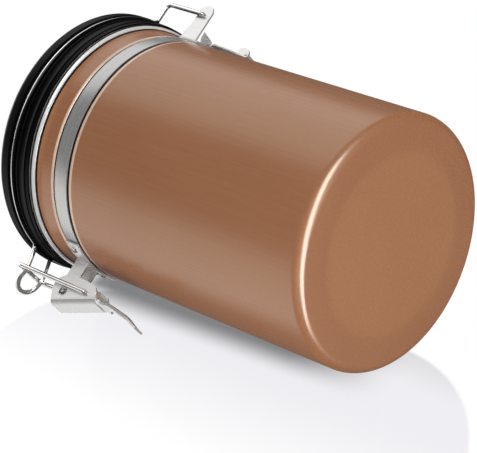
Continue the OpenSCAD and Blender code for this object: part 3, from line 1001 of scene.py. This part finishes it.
@dataclass
class NeckBand:
    """The steel strap that holds the latch and the hinge round the can."""

    low: float = 144.1
    high: float = 152.1
    inner: float = 57.35
    outer: float = 58.1
    round: float = 0.14
    inner_round: float = 0.05
    split: float = 5.0
    liner_outer: float = 57.65
    liner_round: float = 0.1
    liner_ends: tuple = ((143.35, 144.05), (152.15, 153.35))

    def build(self, shop: Workshop) -> None:
        """Makes the strap, open for a few millimetres behind the latch bracket, and its black liner, whose
        edges stand in for the shade in the gaps beside the band.

        Args:
            shop: takes the pieces.
        """
        rounds = (self.inner_round, self.round, self.round, self.inner_round)
        strap = section(self.inner, self.outer, self.low, self.high, rounds, 5)
        strap = turned(strap, middle=90.0, sweep=360.0 - math.degrees(self.split / self.inner))
        shop.piece("neck_strap", strap, BAND_STEEL, Body.CANISTER, ("neck_band",))
        # A black rubber liner under the band; its edges in the gaps beside the band are painted shade.
        rounds = (self.liner_round,) * 4
        below, above = (
            turned(section(self.inner, self.liner_outer, *ends, rounds, 3)) for ends in self.liner_ends
        )
        shop.piece("band_liner", below + above, COLLAR_RUBBER, Body.CANISTER)


@dataclass
class Lid:
    """The black collar, the steel cover and plate, and the pale gasket."""

    skirt_inner: float = 60.8
    skirt_outer: float = 61.5
    flange: float = 62.7
    low: float = 166.7
    high: float = 185.7
    groove: float = 60.2
    groove_half: float = 1.4
    wire_z: float = 177.6
    well: float = 58.7
    shelf: float = 171.55
    gasket_low: float = 167.8
    gasket_high: float = 170.0
    gasket_inner: float = 55.7
    hole: float = 9.05
    sheet: float = 0.8
    ribs: tuple = ((0.3, 3.2, 1.0), (0.78, 4.0, 1.6))
    rib_tall: float = 1.1
    rib_power: float = 1.3
    flange_round: float = 2.2
    shelf_wide: float = 3.3
    gap: float = 0.05
    cover_rim: float = 60.75
    cover_tall: float = 1.85
    cover_round: float = 0.9
    panel: float = 47.0
    panel_rise: float = 0.7
    panel_flat: float = 30.0
    panel_shift: float = 0.35
    plate_ends: tuple = (171.6, 172.4)
    plate_gap: float = 0.3
    plate_round: float = 0.15

    def collar(self) -> Array:
        """The collar's outline: two soft ribs, the wire's groove and a round flange.

        Returns:
            Radii and heights.
        """
        rib = (self.skirt_outer - self.skirt_inner) / 2
        room = self.wire_z - self.low - self.groove_half
        turn = np.linspace(0.0, 1.0, 13)
        ribs = [
            np.column_stack([
                self.skirt_outer + proud * rib * np.sin(np.pi * turn) ** self.rib_power,
                self.low + room * share + rib * tall * self.rib_tall * (turn - 0.5),
            ])
            for share, tall, proud in self.ribs
        ]
        groove_low, groove_high = self.wire_z - self.groove_half, self.wire_z + self.groove_half
        rounded = self.high - self.flange_round
        lower = softened(
            [[self.skirt_inner, self.low], [self.skirt_outer - rib / 2, self.low],
             [self.skirt_outer, self.low + rib], ribs[0][0]],
            (0.1, 0.3, 0.3, 0.1), 4, closed=False,
        )
        groove = softened(
            [[self.skirt_outer, groove_low - rib * 2], [self.skirt_outer - rib, groove_low],
             [self.groove, groove_low], [self.groove, groove_high], [self.flange - 2 * rib, groove_high],
             [self.flange, groove_high + 2 * rib], [self.flange, rounded]],
            (0.2, 0.3, 0.4, 0.4, 0.4, 0.5, 0.2), 5, closed=False,
        )
        edge, ledge = self.well - self.shelf_wide, self.gasket_high + self.gap
        inside = [
            [self.well, self.high], [self.well, self.shelf], [edge, self.shelf], [edge, ledge],
            [self.skirt_inner, ledge],
        ]
        top = arc((self.flange - self.flange_round, rounded), self.flange_round, 0, 90, 10)[1:]
        return np.vstack([lower, ribs[0][1:], ribs[1], groove, top, inside])

    def cover(self) -> Array:
        """The steel cover's outline: a rim, a flat top and a raised panel round the valve.

        Returns:
            Radii and heights.
        """
        low, high, rim = self.high + self.gap, self.high + self.cover_tall, self.cover_rim
        top = high + self.panel_rise
        step = np.linspace(0.0, 1.0, 7)
        raised = np.column_stack([
            self.panel + self.panel_rise * (1 - step), high + self.panel_rise * smooth(step)
        ])
        return np.vstack([
            [[rim - self.sheet, low], [rim, low]],
            arc((rim - self.cover_round, high - self.cover_round), self.cover_round, 0, 90, 8), raised,
            [[self.panel_flat, top], [self.hole, top], [self.hole, top - self.sheet]],
            raised[::-1] - [self.panel_shift, self.sheet], [[rim - self.sheet, high - self.sheet]],
        ])

    def gasket(self) -> Array:
        """The gasket's outline, with a slanting inner lip.

        Returns:
            Radii and heights.
        """
        lip, outer = (self.gasket_high - self.gasket_low) / 3, self.skirt_inner - self.gap
        return softened(
            [[self.gasket_inner + lip, self.gasket_low], [outer, self.gasket_low],
             [outer, self.gasket_high], [self.gasket_inner, self.gasket_high],
             [self.gasket_inner, self.gasket_low + lip]],
            (0.3, 0.3, 0.2, 0.4, 0.3), 4,
        )

    def build(self, shop: Workshop) -> None:
        """Makes the collar, the cover, the inner plate and the gasket.

        Args:
            shop: takes the pieces.
        """
        plate = section(self.hole, self.well - self.plate_gap, *self.plate_ends, (self.plate_round,) * 4, 3)
        for name, outline, steps, finish, node in (
            ("collar", self.collar(), ROUND_STEPS, COLLAR_RUBBER, "lid_collar"),
            ("cover", self.cover(), 256, COVER_STEEL, "lid_cover"),
            ("inner_plate", plate, 200, COVER_STEEL, "lid_inner_plate"),
            ("gasket", self.gasket(), 256, SILICONE, "lid_gasket"),
        ):
            shop.piece(name, turned(outline, steps), finish, Body.LID, (node,))


@dataclass
class LidWire:
    """The one wire that runs round the lid, with two hinge legs and a front loop."""

    wire: float = 2.2
    ring: float = 61.35
    height: float = 177.6
    loop_half: float = 6.2
    loop_reach: float = 83.05
    loop_height: float = 175.95
    dip_reach: float = 73.65
    dip_height: float = 173.9
    leg: float = 19.6
    hinge_y: float = 69.9
    hinge_z: float = 154.4
    stub: float = 5.24
    hinge_rounds: tuple = (0.0, 1.25, 3.1, 2.6, 0.0)
    loop_rounds: tuple = (0.0, 2.4, 1.5, 0.0)

    def half(self) -> Array:
        """The path on the +X side, from the hinge to the middle of the front loop.

        Returns:
            Points along it.
        """
        back = math.degrees(math.acos(self.leg / self.ring))
        front = -math.degrees(math.acos(self.loop_half / self.ring))
        ring = arc((0.0, 0.0), self.ring, back, front, 96)
        ring = np.column_stack([ring, np.full(len(ring), self.height)])
        hinge = softened(
            [[self.leg - self.stub, self.hinge_y, self.hinge_z], [self.leg, self.hinge_y, self.hinge_z],
             [self.leg, self.hinge_y, self.height], ring[0], ring[4]],
            self.hinge_rounds, 10, closed=False,
        )
        start = self.loop_reach - self.loop_half
        slope = (self.loop_height - self.dip_height) / (self.loop_reach - self.dip_reach)
        bend = arc((0.0, start), self.loop_half, 0, 90, 24)
        dip = self.dip_height + slope * (bend[:, 1] - self.dip_reach)
        round_end = np.column_stack([bend[:, 0], -bend[:, 1], dip])
        loop = softened(
            [ring[-5], ring[-1], [self.loop_half, -self.dip_reach, self.dip_height], round_end[0]],
            self.loop_rounds, 10, closed=False,
        )
        return np.vstack([hinge[:-1], ring[5:-5], loop[1:], round_end[1:]])

    def build(self, shop: Workshop) -> None:
        """Makes the wire from its half path and the mirror of it."""
        hoop = tube(mirrored(self.half()), self.wire / 2)
        shop.piece("lid_hoop", hoop, HOOP_STEEL, Body.LID, ("lid_wire",), sharp=60.0)


@dataclass
class Latch:
    """The toggle latch: bracket, hollow pin, lever with its thumb tongue, and bail."""

    pivot: tuple = (76.3, 146.6)
    start: tuple = (84.0964, 149.405)
    lean: float = 19.7
    back: float = 27.3
    cheek: float = 14.5
    width: float = 11.4
    bend: float = 2.5
    sheet: float = 1.0
    tongue: float = 25.5
    tongue_turn: float = 28.0
    tongue_rise: float = 2.5
    bail_pivot: tuple = (73.0958, 133.307)
    bail_top: tuple = (73.6458, 177.007)
    bail_half: float = 9.2
    bail_foot: float = 7.1
    bail_stub: float = 3.1
    bail_wire: float = 2.2
    bail_rounds: tuple = (0.0, 1.3, 2.5, 0.0)
    plate_inner: float = 58.3
    plate_low: float = 143.6
    plate_high: float = 151.6
    plate_sweep: float = 33.0
    plate_rounds: tuple = (0.1, 0.3, 0.3, 0.1)
    ear: float = 4.2
    eye: float = 3.2
    pin_past: float = 0.8
    pin_head: tuple = (
        (0.0, -2.1), (0.75, -2.0), (0.8, -0.35), (1.05, -0.02), (1.5, 0.0), (1.95, -0.15), (2.11, -0.42),
        (1.95, -0.66), (1.6, -0.7),
    )
    cheek_places: tuple = (0.0, 0.02, 0.06, 0.14, 0.27, 0.42, 0.6, 0.74, 0.86, 0.92, 0.97, 1.0)
    cheek_shares: tuple = (0.80, 0.88, 0.94, 0.99, 1.03, 0.94, 0.80, 0.69, 0.55, 0.33, 0.13, 0.0)
    open_from: float = 0.9
    open_over: float = 0.16
    least_turn: float = 0.08
    tip_from: float = 0.9
    tip_share: float = 0.22
    tip_power: float = 2.2
    bulge: float = 0.045
    bulge_depth: tuple = (0.55, 0.3)
    bulge_over: float = 0.25
    bulge_power: float = 1.5
    arch_start: float = 0.92
    arch_rise: tuple = (-0.08, 0.3)
    arch_fall: tuple = (0.6, 0.4)

    def lever(self) -> Shape:
        """The lever's outer face as one bent sheet.

        The grid's rows run along the lever and its columns across the flat sheet. Across, the
        sheet is level for the back, turns through two bends, and falls as the cheeks; the bends
        open toward the tongue, which turns out from the back and is arched toward the can.

        Returns:
            The open surface, as rows by columns.
        """
        along = np.concatenate([
            np.linspace(0.0, 0.2, 14)[:-1], np.linspace(0.2, 0.84, 22)[:-1],
            np.linspace(0.84, 1.0, 22)[:-1], 1.0 + np.linspace(0.0, 1.0, 34) * self.tongue / self.back,
        ])
        half = self.width / 2
        arc_long = self.bend * np.pi / 2
        flat = half - self.bend
        opening = smooth((along - self.open_from) / self.open_over)
        depth = np.interp(along, self.cheek_places, self.cheek_shares) * self.cheek
        cheek = np.maximum(depth - self.bend, 0.0)
        reach = flat + (arc_long + cheek) * (1 - opening) + self.bend * opening
        past = np.clip((along - 1.0) * self.back / self.tongue, 0.0, 1.0)
        tip = np.clip((past - self.tip_from) / (1 - self.tip_from), 0.0, 1.0) ** self.tip_power
        reach = reach * (1 - self.tip_share * tip)
        across = np.linspace(-1.0, 1.0, 61)
        sheet = reach[:, None] * across[None, :]
        size = np.abs(sheet)
        turn = (1 - opening)[:, None] * np.pi / 2
        curl = np.clip(size - flat, 0.0, arc_long) / arc_long * turn
        loose = arc_long / np.maximum(turn, self.least_turn)
        beyond = np.maximum(size - flat - arc_long, 0.0)
        wide = np.minimum(size, flat) + loose * np.sin(curl) + beyond * np.cos(turn)
        fall = loose * (1 - np.cos(curl)) + beyond * np.sin(turn)
        lengthwise = along * self.back
        deepest, spread = self.bulge_depth
        bulge = -self.bulge * self.back * np.exp(-((fall / self.cheek - deepest) / spread) ** 2)
        shift = bulge * np.clip(1 - along / self.bulge_over, 0.0, 1.0)[:, None] ** self.bulge_power
        bend_angle = math.radians(self.tongue_turn)
        outward = past * self.tongue
        forward = np.minimum(lengthwise, self.back) + outward * math.cos(bend_angle)
        lift = -outward * math.sin(bend_angle)
        rise, drop = (smooth((past - start) / over) for start, over in (self.arch_rise, self.arch_fall))
        arch = (self.tongue_rise * rise * (1 - drop))[:, None] * (1 - (wide / half) ** 2)
        arch = arch * (along > self.arch_start)[:, None]
        down = fall + arch + lift[:, None]
        lean = math.radians(self.lean)
        run = np.array([-math.sin(lean), -math.cos(lean)])
        inward = np.array([-math.cos(lean), math.sin(lean)])
        reach_out, height = (
            self.start[i] + (forward[:, None] + shift) * run[i] + down * inward[i] for i in (0, 1)
        )
        points = np.stack([np.sign(sheet) * wide, -reach_out, height], axis=-1)
        return grid(points, False, False)

    def bail(self) -> Array:
        """The bail's path: bent-in end, bar, corner and half the cross bar, then its mirror.

        Returns:
            Points along it.
        """
        foot = np.array([self.bail_foot, -self.bail_pivot[0], self.bail_pivot[1]])
        top = np.array([self.bail_half, -self.bail_top[0], self.bail_top[1]])
        corners = [foot - [self.bail_stub, 0.0, 0.0], foot, top, top * [0.0, 1.0, 1.0]]
        return mirrored(softened(corners, self.bail_rounds, 10, closed=False))

    def ear_outline(self) -> Array:
        """One bracket ear, from the plate out to the eye round the pivot.

        Returns:
            Reach and height of its points.
        """
        reach, eye, root = self.pivot[0], self.eye, self.plate_inner + self.sheet / 2
        return np.vstack([
            [[root, self.plate_low], [reach - eye, self.plate_low]], arc(self.pivot, eye, -100, 90, 20),
            [[reach - 2 * eye, self.plate_high], [root, self.plate_high]],
        ])

    def build(self, shop: Workshop) -> None:
        """Makes the bracket, the pin, the lever and the bail.

        Args:
            shop: takes the pieces.
        """
        plate = section(
            self.plate_inner, self.plate_inner + self.sheet, self.plate_low, self.plate_high,
            self.plate_rounds, 4,
        )
        bracket = turned(plate, middle=-90.0, sweep=self.plate_sweep)
        bracket += twins(self.ear_outline(), Side.LATCH, self.ear, self.sheet)
        shop.piece("latch_plate", bracket, SHEET_STEEL, Body.CANISTER, ("latch_bracket",), bevel=0.2)
        half = np.array(self.pin_head) + [0.0, self.width / 2 + self.pin_past]
        pin = np.vstack([half[::-1], half * [1.0, -1.0]])
        pin = knob(pin, (0.0, -self.pivot[0], self.pivot[1]), (1.0, 0.0, 0.0), 48)
        shop.piece("pivot_pin", pin, RIVET_STEEL, Body.CANISTER, ("lever_pin",))
        shop.piece(
            "toggle_lever", self.lever(), SHEET_STEEL, Body.LEVER, ("latch_lever",), bevel=0.22,
            thickness=self.sheet, sharp=60.0,
        )
        bail = tube(self.bail(), self.bail_wire / 2)
        shop.piece("toggle_bail", bail, WIRE_STEEL, Body.BAIL, ("latch_bail",), sharp=60.0)


@dataclass
class Hinge:
    """The hinge bracket with its two ears, and the spring clip for a scoop."""

    ear: float = 18.2
    ear_low: float = 150.3
    ear_high: float = 158.5
    ear_end: float = 71.4
    ear_root: float = 56.0
    ear_foot: tuple = ((58.0, 1.6), (62.6, 0.8), (64.2, 0.0))
    ear_rounds: tuple = (0.0, 1.2, 0.9, 0.9, 0.0)
    plate_inner: float = 58.3
    plate_low: float = 146.77
    plate_sweep: float = 40.0
    plate_rounds: tuple = (0.1, 0.3, 0.3, 0.1)
    sheet: float = 1.0
    clip_inner: float = 59.35
    clip_turn: float = 25.3
    clip_half: float = 13.0
    tongue_half: float = 4.0
    slot: float = 3.0
    clip_long: float = 26.5
    clip_sheet: float = 0.8
    curl: float = 1.2
    curl_turn: float = 285.0
    step_rounds: tuple = (0.0, 0.6, 1.6, 0.0)
    gusset: tuple = ((0.0, -2.0), (2.6, -2.4), (7.6, 7.3), (2.5, 6.8), (0.0, 5.0))
    gusset_rounds: tuple = (0.3, 0.6, 0.6, 0.4, 0.3)

    def ear_outline(self) -> Array:
        """One hinge ear with its rounded end and the low shoulder at its foot.

        Returns:
            Reach and height of its points.
        """
        middle = (self.ear_low + self.ear_high) / 2
        shoulder = [[reach, self.ear_high + up] for reach, up in self.ear_foot]
        root = [self.ear_root, self.ear_high + self.ear_foot[0][1]]
        corners = [root, *shoulder, [self.ear_end - 1.0, self.ear_high]]
        end = arc((self.ear_end, middle), self.ear_high - middle, 90, -90, 28)
        foot = softened(corners, self.ear_rounds, 5, closed=False)
        return np.vstack([foot, end, [[self.ear_root, self.ear_low]]])

    def clip(self) -> Shape:
        """The clip: a curved foot, a tongue that steps out from it and ends in a roll, two gussets.

        Returns:
            The closed pieces in one shape.
        """
        low, high, thick = self.plate_low + self.sheet, self.ear_high - self.sheet, self.clip_sheet
        outer, centre = self.clip_inner + thick, self.clip_inner + thick / 2
        foot = section(self.clip_inner, outer, low, high, (0.25,) * 4, 3)
        tip = (outer + self.slot / 2 + self.curl, high - self.clip_long)
        curl = arc(tip, self.curl - thick / 2, 180, 180 + self.curl_turn, 32)
        step = softened(
            [[centre, high - thick], [outer, high - 2 * thick],
             [outer + self.slot + thick / 2, high - 5 * thick], curl[0]],
            self.step_rounds, 8, closed=False,
        )
        path = np.vstack([step[:-1], (step[-2] + curl[0]) / 2, curl])
        strip = slab(ribbon(path, thick), Side.HINGE, 0.0, 2 * self.tongue_half)
        heel = np.array([math.sqrt(centre**2 - self.clip_half**2), low])
        gusset = softened(heel + thick * np.array(self.gusset), self.gusset_rounds, 4)
        gussets = twins(gusset, Side.HINGE, self.clip_half, thick)
        return turned(foot, middle=90.0, sweep=self.clip_turn) + strip + gussets

    def build(self, shop: Workshop) -> None:
        """Makes the bracket with its ears, and the clip.

        Args:
            shop: takes the pieces.
        """
        plate = section(
            self.plate_inner, self.plate_inner + self.sheet, self.plate_low, self.ear_high + self.sheet / 4,
            self.plate_rounds, 4,
        )
        bracket = turned(plate, middle=90.0, sweep=self.plate_sweep)
        bracket += twins(self.ear_outline(), Side.HINGE, self.ear, self.sheet)
        shop.piece("hinge_plate", bracket, SHEET_STEEL, Body.CANISTER, ("hinge_bracket",), bevel=0.2)
        shop.piece("clip", self.clip(), SHEET_STEEL, Body.CANISTER, ("scoop_clip",), bevel=0.15)


@dataclass
class Rivets:
    """Low domed rivet heads on the latch bracket and on the hinge clip."""

    radius: float = 1.8
    tall: float = 0.7
    latch: tuple = (-90.0, 11.88, 59.325, 148.1)
    hinge: tuple = (90.0, 8.435, 60.175, 152.63)

    def head(self, angle: float, reach: float, height: float) -> Shape:
        """One rivet head.

        Args:
            angle: where it is round the can, in degrees.
            reach: how far from the can's axis.
            height: how high.

        Returns:
            The closed dome.
        """
        foot = self.tall / 3
        crown = arc((0.0, foot), 1.0, 0, 90, 8) - [0.0, foot]
        crown = crown * [self.radius, self.tall - foot] + [0.0, foot]
        turn = math.radians(angle)
        out = np.array([math.cos(turn), math.sin(turn), 0.0])
        dome = np.vstack([[[0.0, 0.0], [self.radius, 0.0]], crown])
        return knob(dome, out * reach + [0.0, 0.0, height], out, 32)

    def pair(self, middle: float, spread: float, reach: float, height: float) -> Shape:
        """Two heads, each a spread of degrees to one side of a middle angle."""
        return self.head(middle - spread, reach, height) + self.head(middle + spread, reach, height)

    def build(self, shop: Workshop) -> None:
        """Makes the two pairs of heads.

        Args:
            shop: takes the pieces.
        """
        for side, node in ((self.latch, "latch_rivets"), (self.hinge, "hinge_rivets")):
            name = node.replace("rivets", "rivet_heads")
            shop.piece(name, self.pair(*side), RIVET_STEEL, Body.CANISTER, (node,))


@dataclass
class Valve:
    """The one-way valve, whose CAD solids keep their shapes and get their finishes."""

    finishes: dict = field(default_factory=lambda: {
        "valve_housing": VALVE_PLASTIC,
        "valve_nut": VALVE_PLASTIC,
        "valve_cap": VALVE_PLASTIC,
        "valve_washer": SILICONE,
        "valve_filter": FELT,
        "valve_disc": RED_RUBBER,
    })

    def build(self, shop: Workshop, nodes: dict) -> None:
        """Dresses each of the valve's nodes."""
        for name, finish in self.finishes.items():
            shop.dress(nodes, name, finish)


# Studio

@dataclass(frozen=True)
class Glow:
    """A soft bright region of the surroundings, round a direction in the canister's frame."""

    turn: float
    rise: float
    edge: float
    core: float
    strength: float

    def direction(self) -> tuple:
        """Its middle, as a vector of length 1."""
        turn, rise = math.radians(self.turn), math.radians(self.rise)
        return (math.cos(turn) * math.cos(rise), math.sin(turn) * math.cos(rise), math.sin(rise))


@dataclass(frozen=True)
class SoftBox:
    """A soft rectangular light, aimed at the canister's middle."""

    name: str
    place: tuple
    width: float
    height: float
    power: float
    glossy: bool = True
    pieces: tuple = ()


@dataclass(frozen=True)
class LightArc:
    """A bent strip light for the paint's gloss alone, as flat boxes end to end along an arc.

    Its directions run from the can's middle. Its radiance is in watts per square metre and steradian,
    and its colour is linear red, green and blue.
    """

    name: str
    directions: tuple
    distance: float
    breadth: float
    radiance: float
    colour: tuple

    def panels(self) -> list[tuple[Array, Array, float]]:
        """Places the boxes end to end.

        Returns:
            Each box's middle, from the can's middle, its long direction and its length.
        """
        ends = self.distance * unit(np.array(self.directions))
        along = np.diff(ends, axis=0)
        length = np.linalg.norm(along, axis=1)
        middles = (ends[1:] + ends[:-1]) / 2
        return list(zip(middles, along / length[:, None], length.tolist()))


SHEET_PIECES = ("toggle_lever", "latch_plate", "hinge_plate", "clip", "toggle_bail", "lid_hoop", "rim_roll")
WIRE_PIECES = ("lid_hoop", "toggle_bail", "pivot_pin", "rim_roll", "latch_rivet_heads", "hinge_rivet_heads")


@dataclass
class Studio:
    """The camera at the photographed angle, the floor the canister lies on, and the lights."""

    camera_place: tuple = (713.1, -238.6, -569.2)
    right: tuple = (-0.48157, 0.51896, -0.70624)
    down: tuple = (-0.49942, -0.82469, -0.26546)
    forward: tuple = (-0.72019, 0.22487, 0.65632)
    lens: float = 167.07
    sensor: float = 36.0
    clip: tuple = (0.05, 20.0)
    up_turn: float = 20.0
    up_lean: float = 0.02626
    floor_drop: float = 60.8
    floor_half: float = 800.0
    middle: tuple = (0.0, 0.0, 95.0)
    backdrop: float = 1.0
    fill: float = 0.2
    gloss_fill: float = 0.09
    glows: tuple = (
        Glow(61.0, 41.0, 36.0, 19.0, 1.0),
        Glow(-94.0, 41.0, 34.0, 10.0, 1.0),
        Glow(0.0, 90.0, 26.0, 10.0, 2.5),
    )
    boxes: tuple = (
        SoftBox("high_fill", (800.0, 740.0, -880.0), 900.0, 900.0, 11.0, glossy=False),
        SoftBox("low_fill", (240.0, -1063.0, -880.0), 900.0, 900.0, 11.0, glossy=False),
        SoftBox("back_fill", (-1400.0, 280.0, 300.0), 900.0, 900.0, 11.0, glossy=False),
        SoftBox("steel_front", (1008.0, 315.0, 918.0), 1300.0, 1300.0, 4.3, pieces=SHEET_PIECES),
        SoftBox("steel_low", (-1008.0, -826.0, 504.0), 1200.0, 1200.0, 3.6, pieces=SHEET_PIECES),
        SoftBox("steel_above", (1200.0, 390.0, -530.0), 900.0, 900.0, 10.0, pieces=WIRE_PIECES),
    )
    painted: tuple = ("can_shell",)
    edge_arc: LightArc = LightArc(
        "base_edge_light",
        ((0.74, 0.42, -0.52), (0.69, 0.21, -0.70), (0.54, 0.0, -0.84), (0.33, -0.14, -0.93),
         (0.12, -0.23, -0.97), (-0.12, -0.23, -0.965), (-0.33, -0.24, -0.91), (-0.54, -0.22, -0.81)),
        1400.0, 680.0, 11.0, (0.95, 1.0, 1.12),
    )

    def upward(self) -> Array:
        """The floor's upward direction: across the can, a little toward its lid."""
        turn = math.radians(self.up_turn)
        return unit([math.cos(turn), math.sin(turn), self.up_lean])

    def camera(self) -> None:
        """Makes the camera and the scene's view of it."""
        data = bpy.data.cameras.new("camera")
        data.lens, data.sensor_width, data.sensor_fit = self.lens, self.sensor, "HORIZONTAL"
        data.clip_start, data.clip_end = self.clip
        place = np.array(self.camera_place) * MM
        axes = np.column_stack([self.right, np.negative(self.down), np.negative(self.forward), place])
        made = placed("camera", data)
        made.matrix_world = Matrix(np.vstack([axes, [0.0, 0.0, 0.0, 1.0]]).tolist())
        bpy.context.scene.camera = made

    def floor(self, shop: Workshop) -> None:
        """Makes the floor beside the canister, which is seen as lying, in the canister's frame.

        Args:
            shop: has the floor's finish.
        """
        up = self.upward()
        side = unit(np.cross(up, [0.0, 0.0, 1.0]))
        along = np.cross(up, side)
        middle = np.array(self.middle) - up * self.floor_drop
        ways = [(-1, -1), (1, -1), (1, 1), (-1, 1)]
        corners = np.array([middle + self.floor_half * (a * side + b * along) for a, b in ways])
        mesh = bpy.data.meshes.new("studio_floor")
        mesh.from_pydata((corners * MM).tolist(), [], [(0, 1, 2, 3)])
        mesh.update()
        if np.dot(np.array(mesh.polygons[0].normal), up) < 0:
            mesh.flip_normals()
        ways = (tuple(way.tolist()) for way in (middle * MM, side, along))
        mesh.materials.append(shop.finish(PaleFloor(*ways)))
        made = placed("studio_floor", mesh)
        made.visible_diffuse = made.visible_glossy = made.visible_transmission = made.visible_shadow = False

    def panel(
        self, name: str, offset: Array, across: Array, width: float, height: float, power: float
    ) -> bpy.types.Object:
        """Makes one flat soft light that faces the canister's middle.

        Args:
            name: its name.
            offset: its place from the canister's middle.
            across: the direction of its width.
            width: its size across.
            height: its size the other way.
            power: its power in watts.

        Returns:
            The light's object.
        """
        data = bpy.data.lights.new(name, "AREA")
        data.shape, data.size, data.size_y, data.energy = "RECTANGLE", width * MM, height * MM, power
        made = placed(name, data)
        back = unit(offset)
        across = unit(across - back * np.dot(across, back))
        axes = np.column_stack([across, np.cross(back, across), back])
        made.rotation_euler = Matrix(axes.tolist()).to_euler()
        made.location = ((np.asarray(self.middle) + offset) * MM).tolist()
        made.visible_camera = False
        return made

    def keep_to(self, light: bpy.types.Object, pieces: tuple) -> None:
        """Lets a light fall on some pieces alone. Args: the light and the pieces' names."""
        lit = bpy.data.collections.new(f"lit_by_{light.name}")
        for name in pieces:
            lit.objects.link(bpy.data.objects[name])
        light.light_linking.receiver_collection = lit

    def lights(self) -> None:
        """Makes the soft boxes and the arc of lights that gleams along the base's edge."""
        for box in self.boxes:
            offset = np.asarray(box.place)
            across = np.cross(self.upward(), offset)
            made = self.panel(box.name, offset, across, box.width, box.height, box.power)
            made.visible_glossy = box.glossy
            if box.pieces:
                self.keep_to(made, box.pieces)
        arc_light = self.edge_arc
        for number, (middle, along, length) in enumerate(arc_light.panels()):
            name, breadth = f"{arc_light.name}_{number}", arc_light.breadth
            power = arc_light.radiance * math.pi * length * breadth * MM * MM
            made = self.panel(name, middle, along, length, breadth, power)
            made.visible_diffuse = False
            made.data.color = arc_light.colour
            self.keep_to(made, self.painted)

    def surroundings(self) -> None:
        """Gives the world its soft bright regions, and the white backdrop that the camera sees."""
        world = bpy.data.worlds.new("surroundings")
        sky = Graph(world)
        heading = sky.node("ShaderNodeTexCoord", {}, {}, "Generated")
        glossy = sky.node("ShaderNodeLightPath", {}, {}, "Is Glossy Ray")
        level: object = self.fill - glossy * (self.fill - self.gloss_fill)
        for glow in self.glows:
            lean = sky.vector("DOT_PRODUCT", heading, glow.direction())
            edge, core = (math.cos(math.radians(angle)) for angle in (glow.edge, glow.core))
            level = lean.ramp(edge, core) * glow.strength + level
        lit, plain = (
            sky.node("ShaderNodeBackground", {}, {"Color": WHITE, "Strength": strength})
            for strength in (level, self.backdrop)
        )
        seen = sky.node("ShaderNodeLightPath", {}, {}, "Is Camera Ray")
        both = sky.node("ShaderNodeMixShader", {}, {0: seen, 1: lit, 2: plain})
        output = sky.tree.nodes.new("ShaderNodeOutputWorld")
        sky.link(output.inputs[0], both)
        bpy.context.scene.world = world
        bpy.context.scene.view_settings.view_transform = "Standard"

    def build(self, shop: Workshop) -> None:
        """Makes the whole studio.

        Args:
            shop: has the floor's finish.
        """
        self.camera()
        self.floor(shop)
        self.lights()
        self.surroundings()


def main() -> None:
    """Loads the frame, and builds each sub-assembly."""
    logging.basicConfig(level=logging.INFO, format="%(name)s: %(message)s")
    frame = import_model()
    shop = Workshop()
    for part in (Can(), NeckBand(), Lid(), LidWire(), Latch(), Hinge(), Rivets()):
        part.build(shop)
    Valve().build(shop, frame["nodes"])
    Studio().build(shop)
    bpy.context.view_layer.update()


if __name__ == "__main__":
    main()
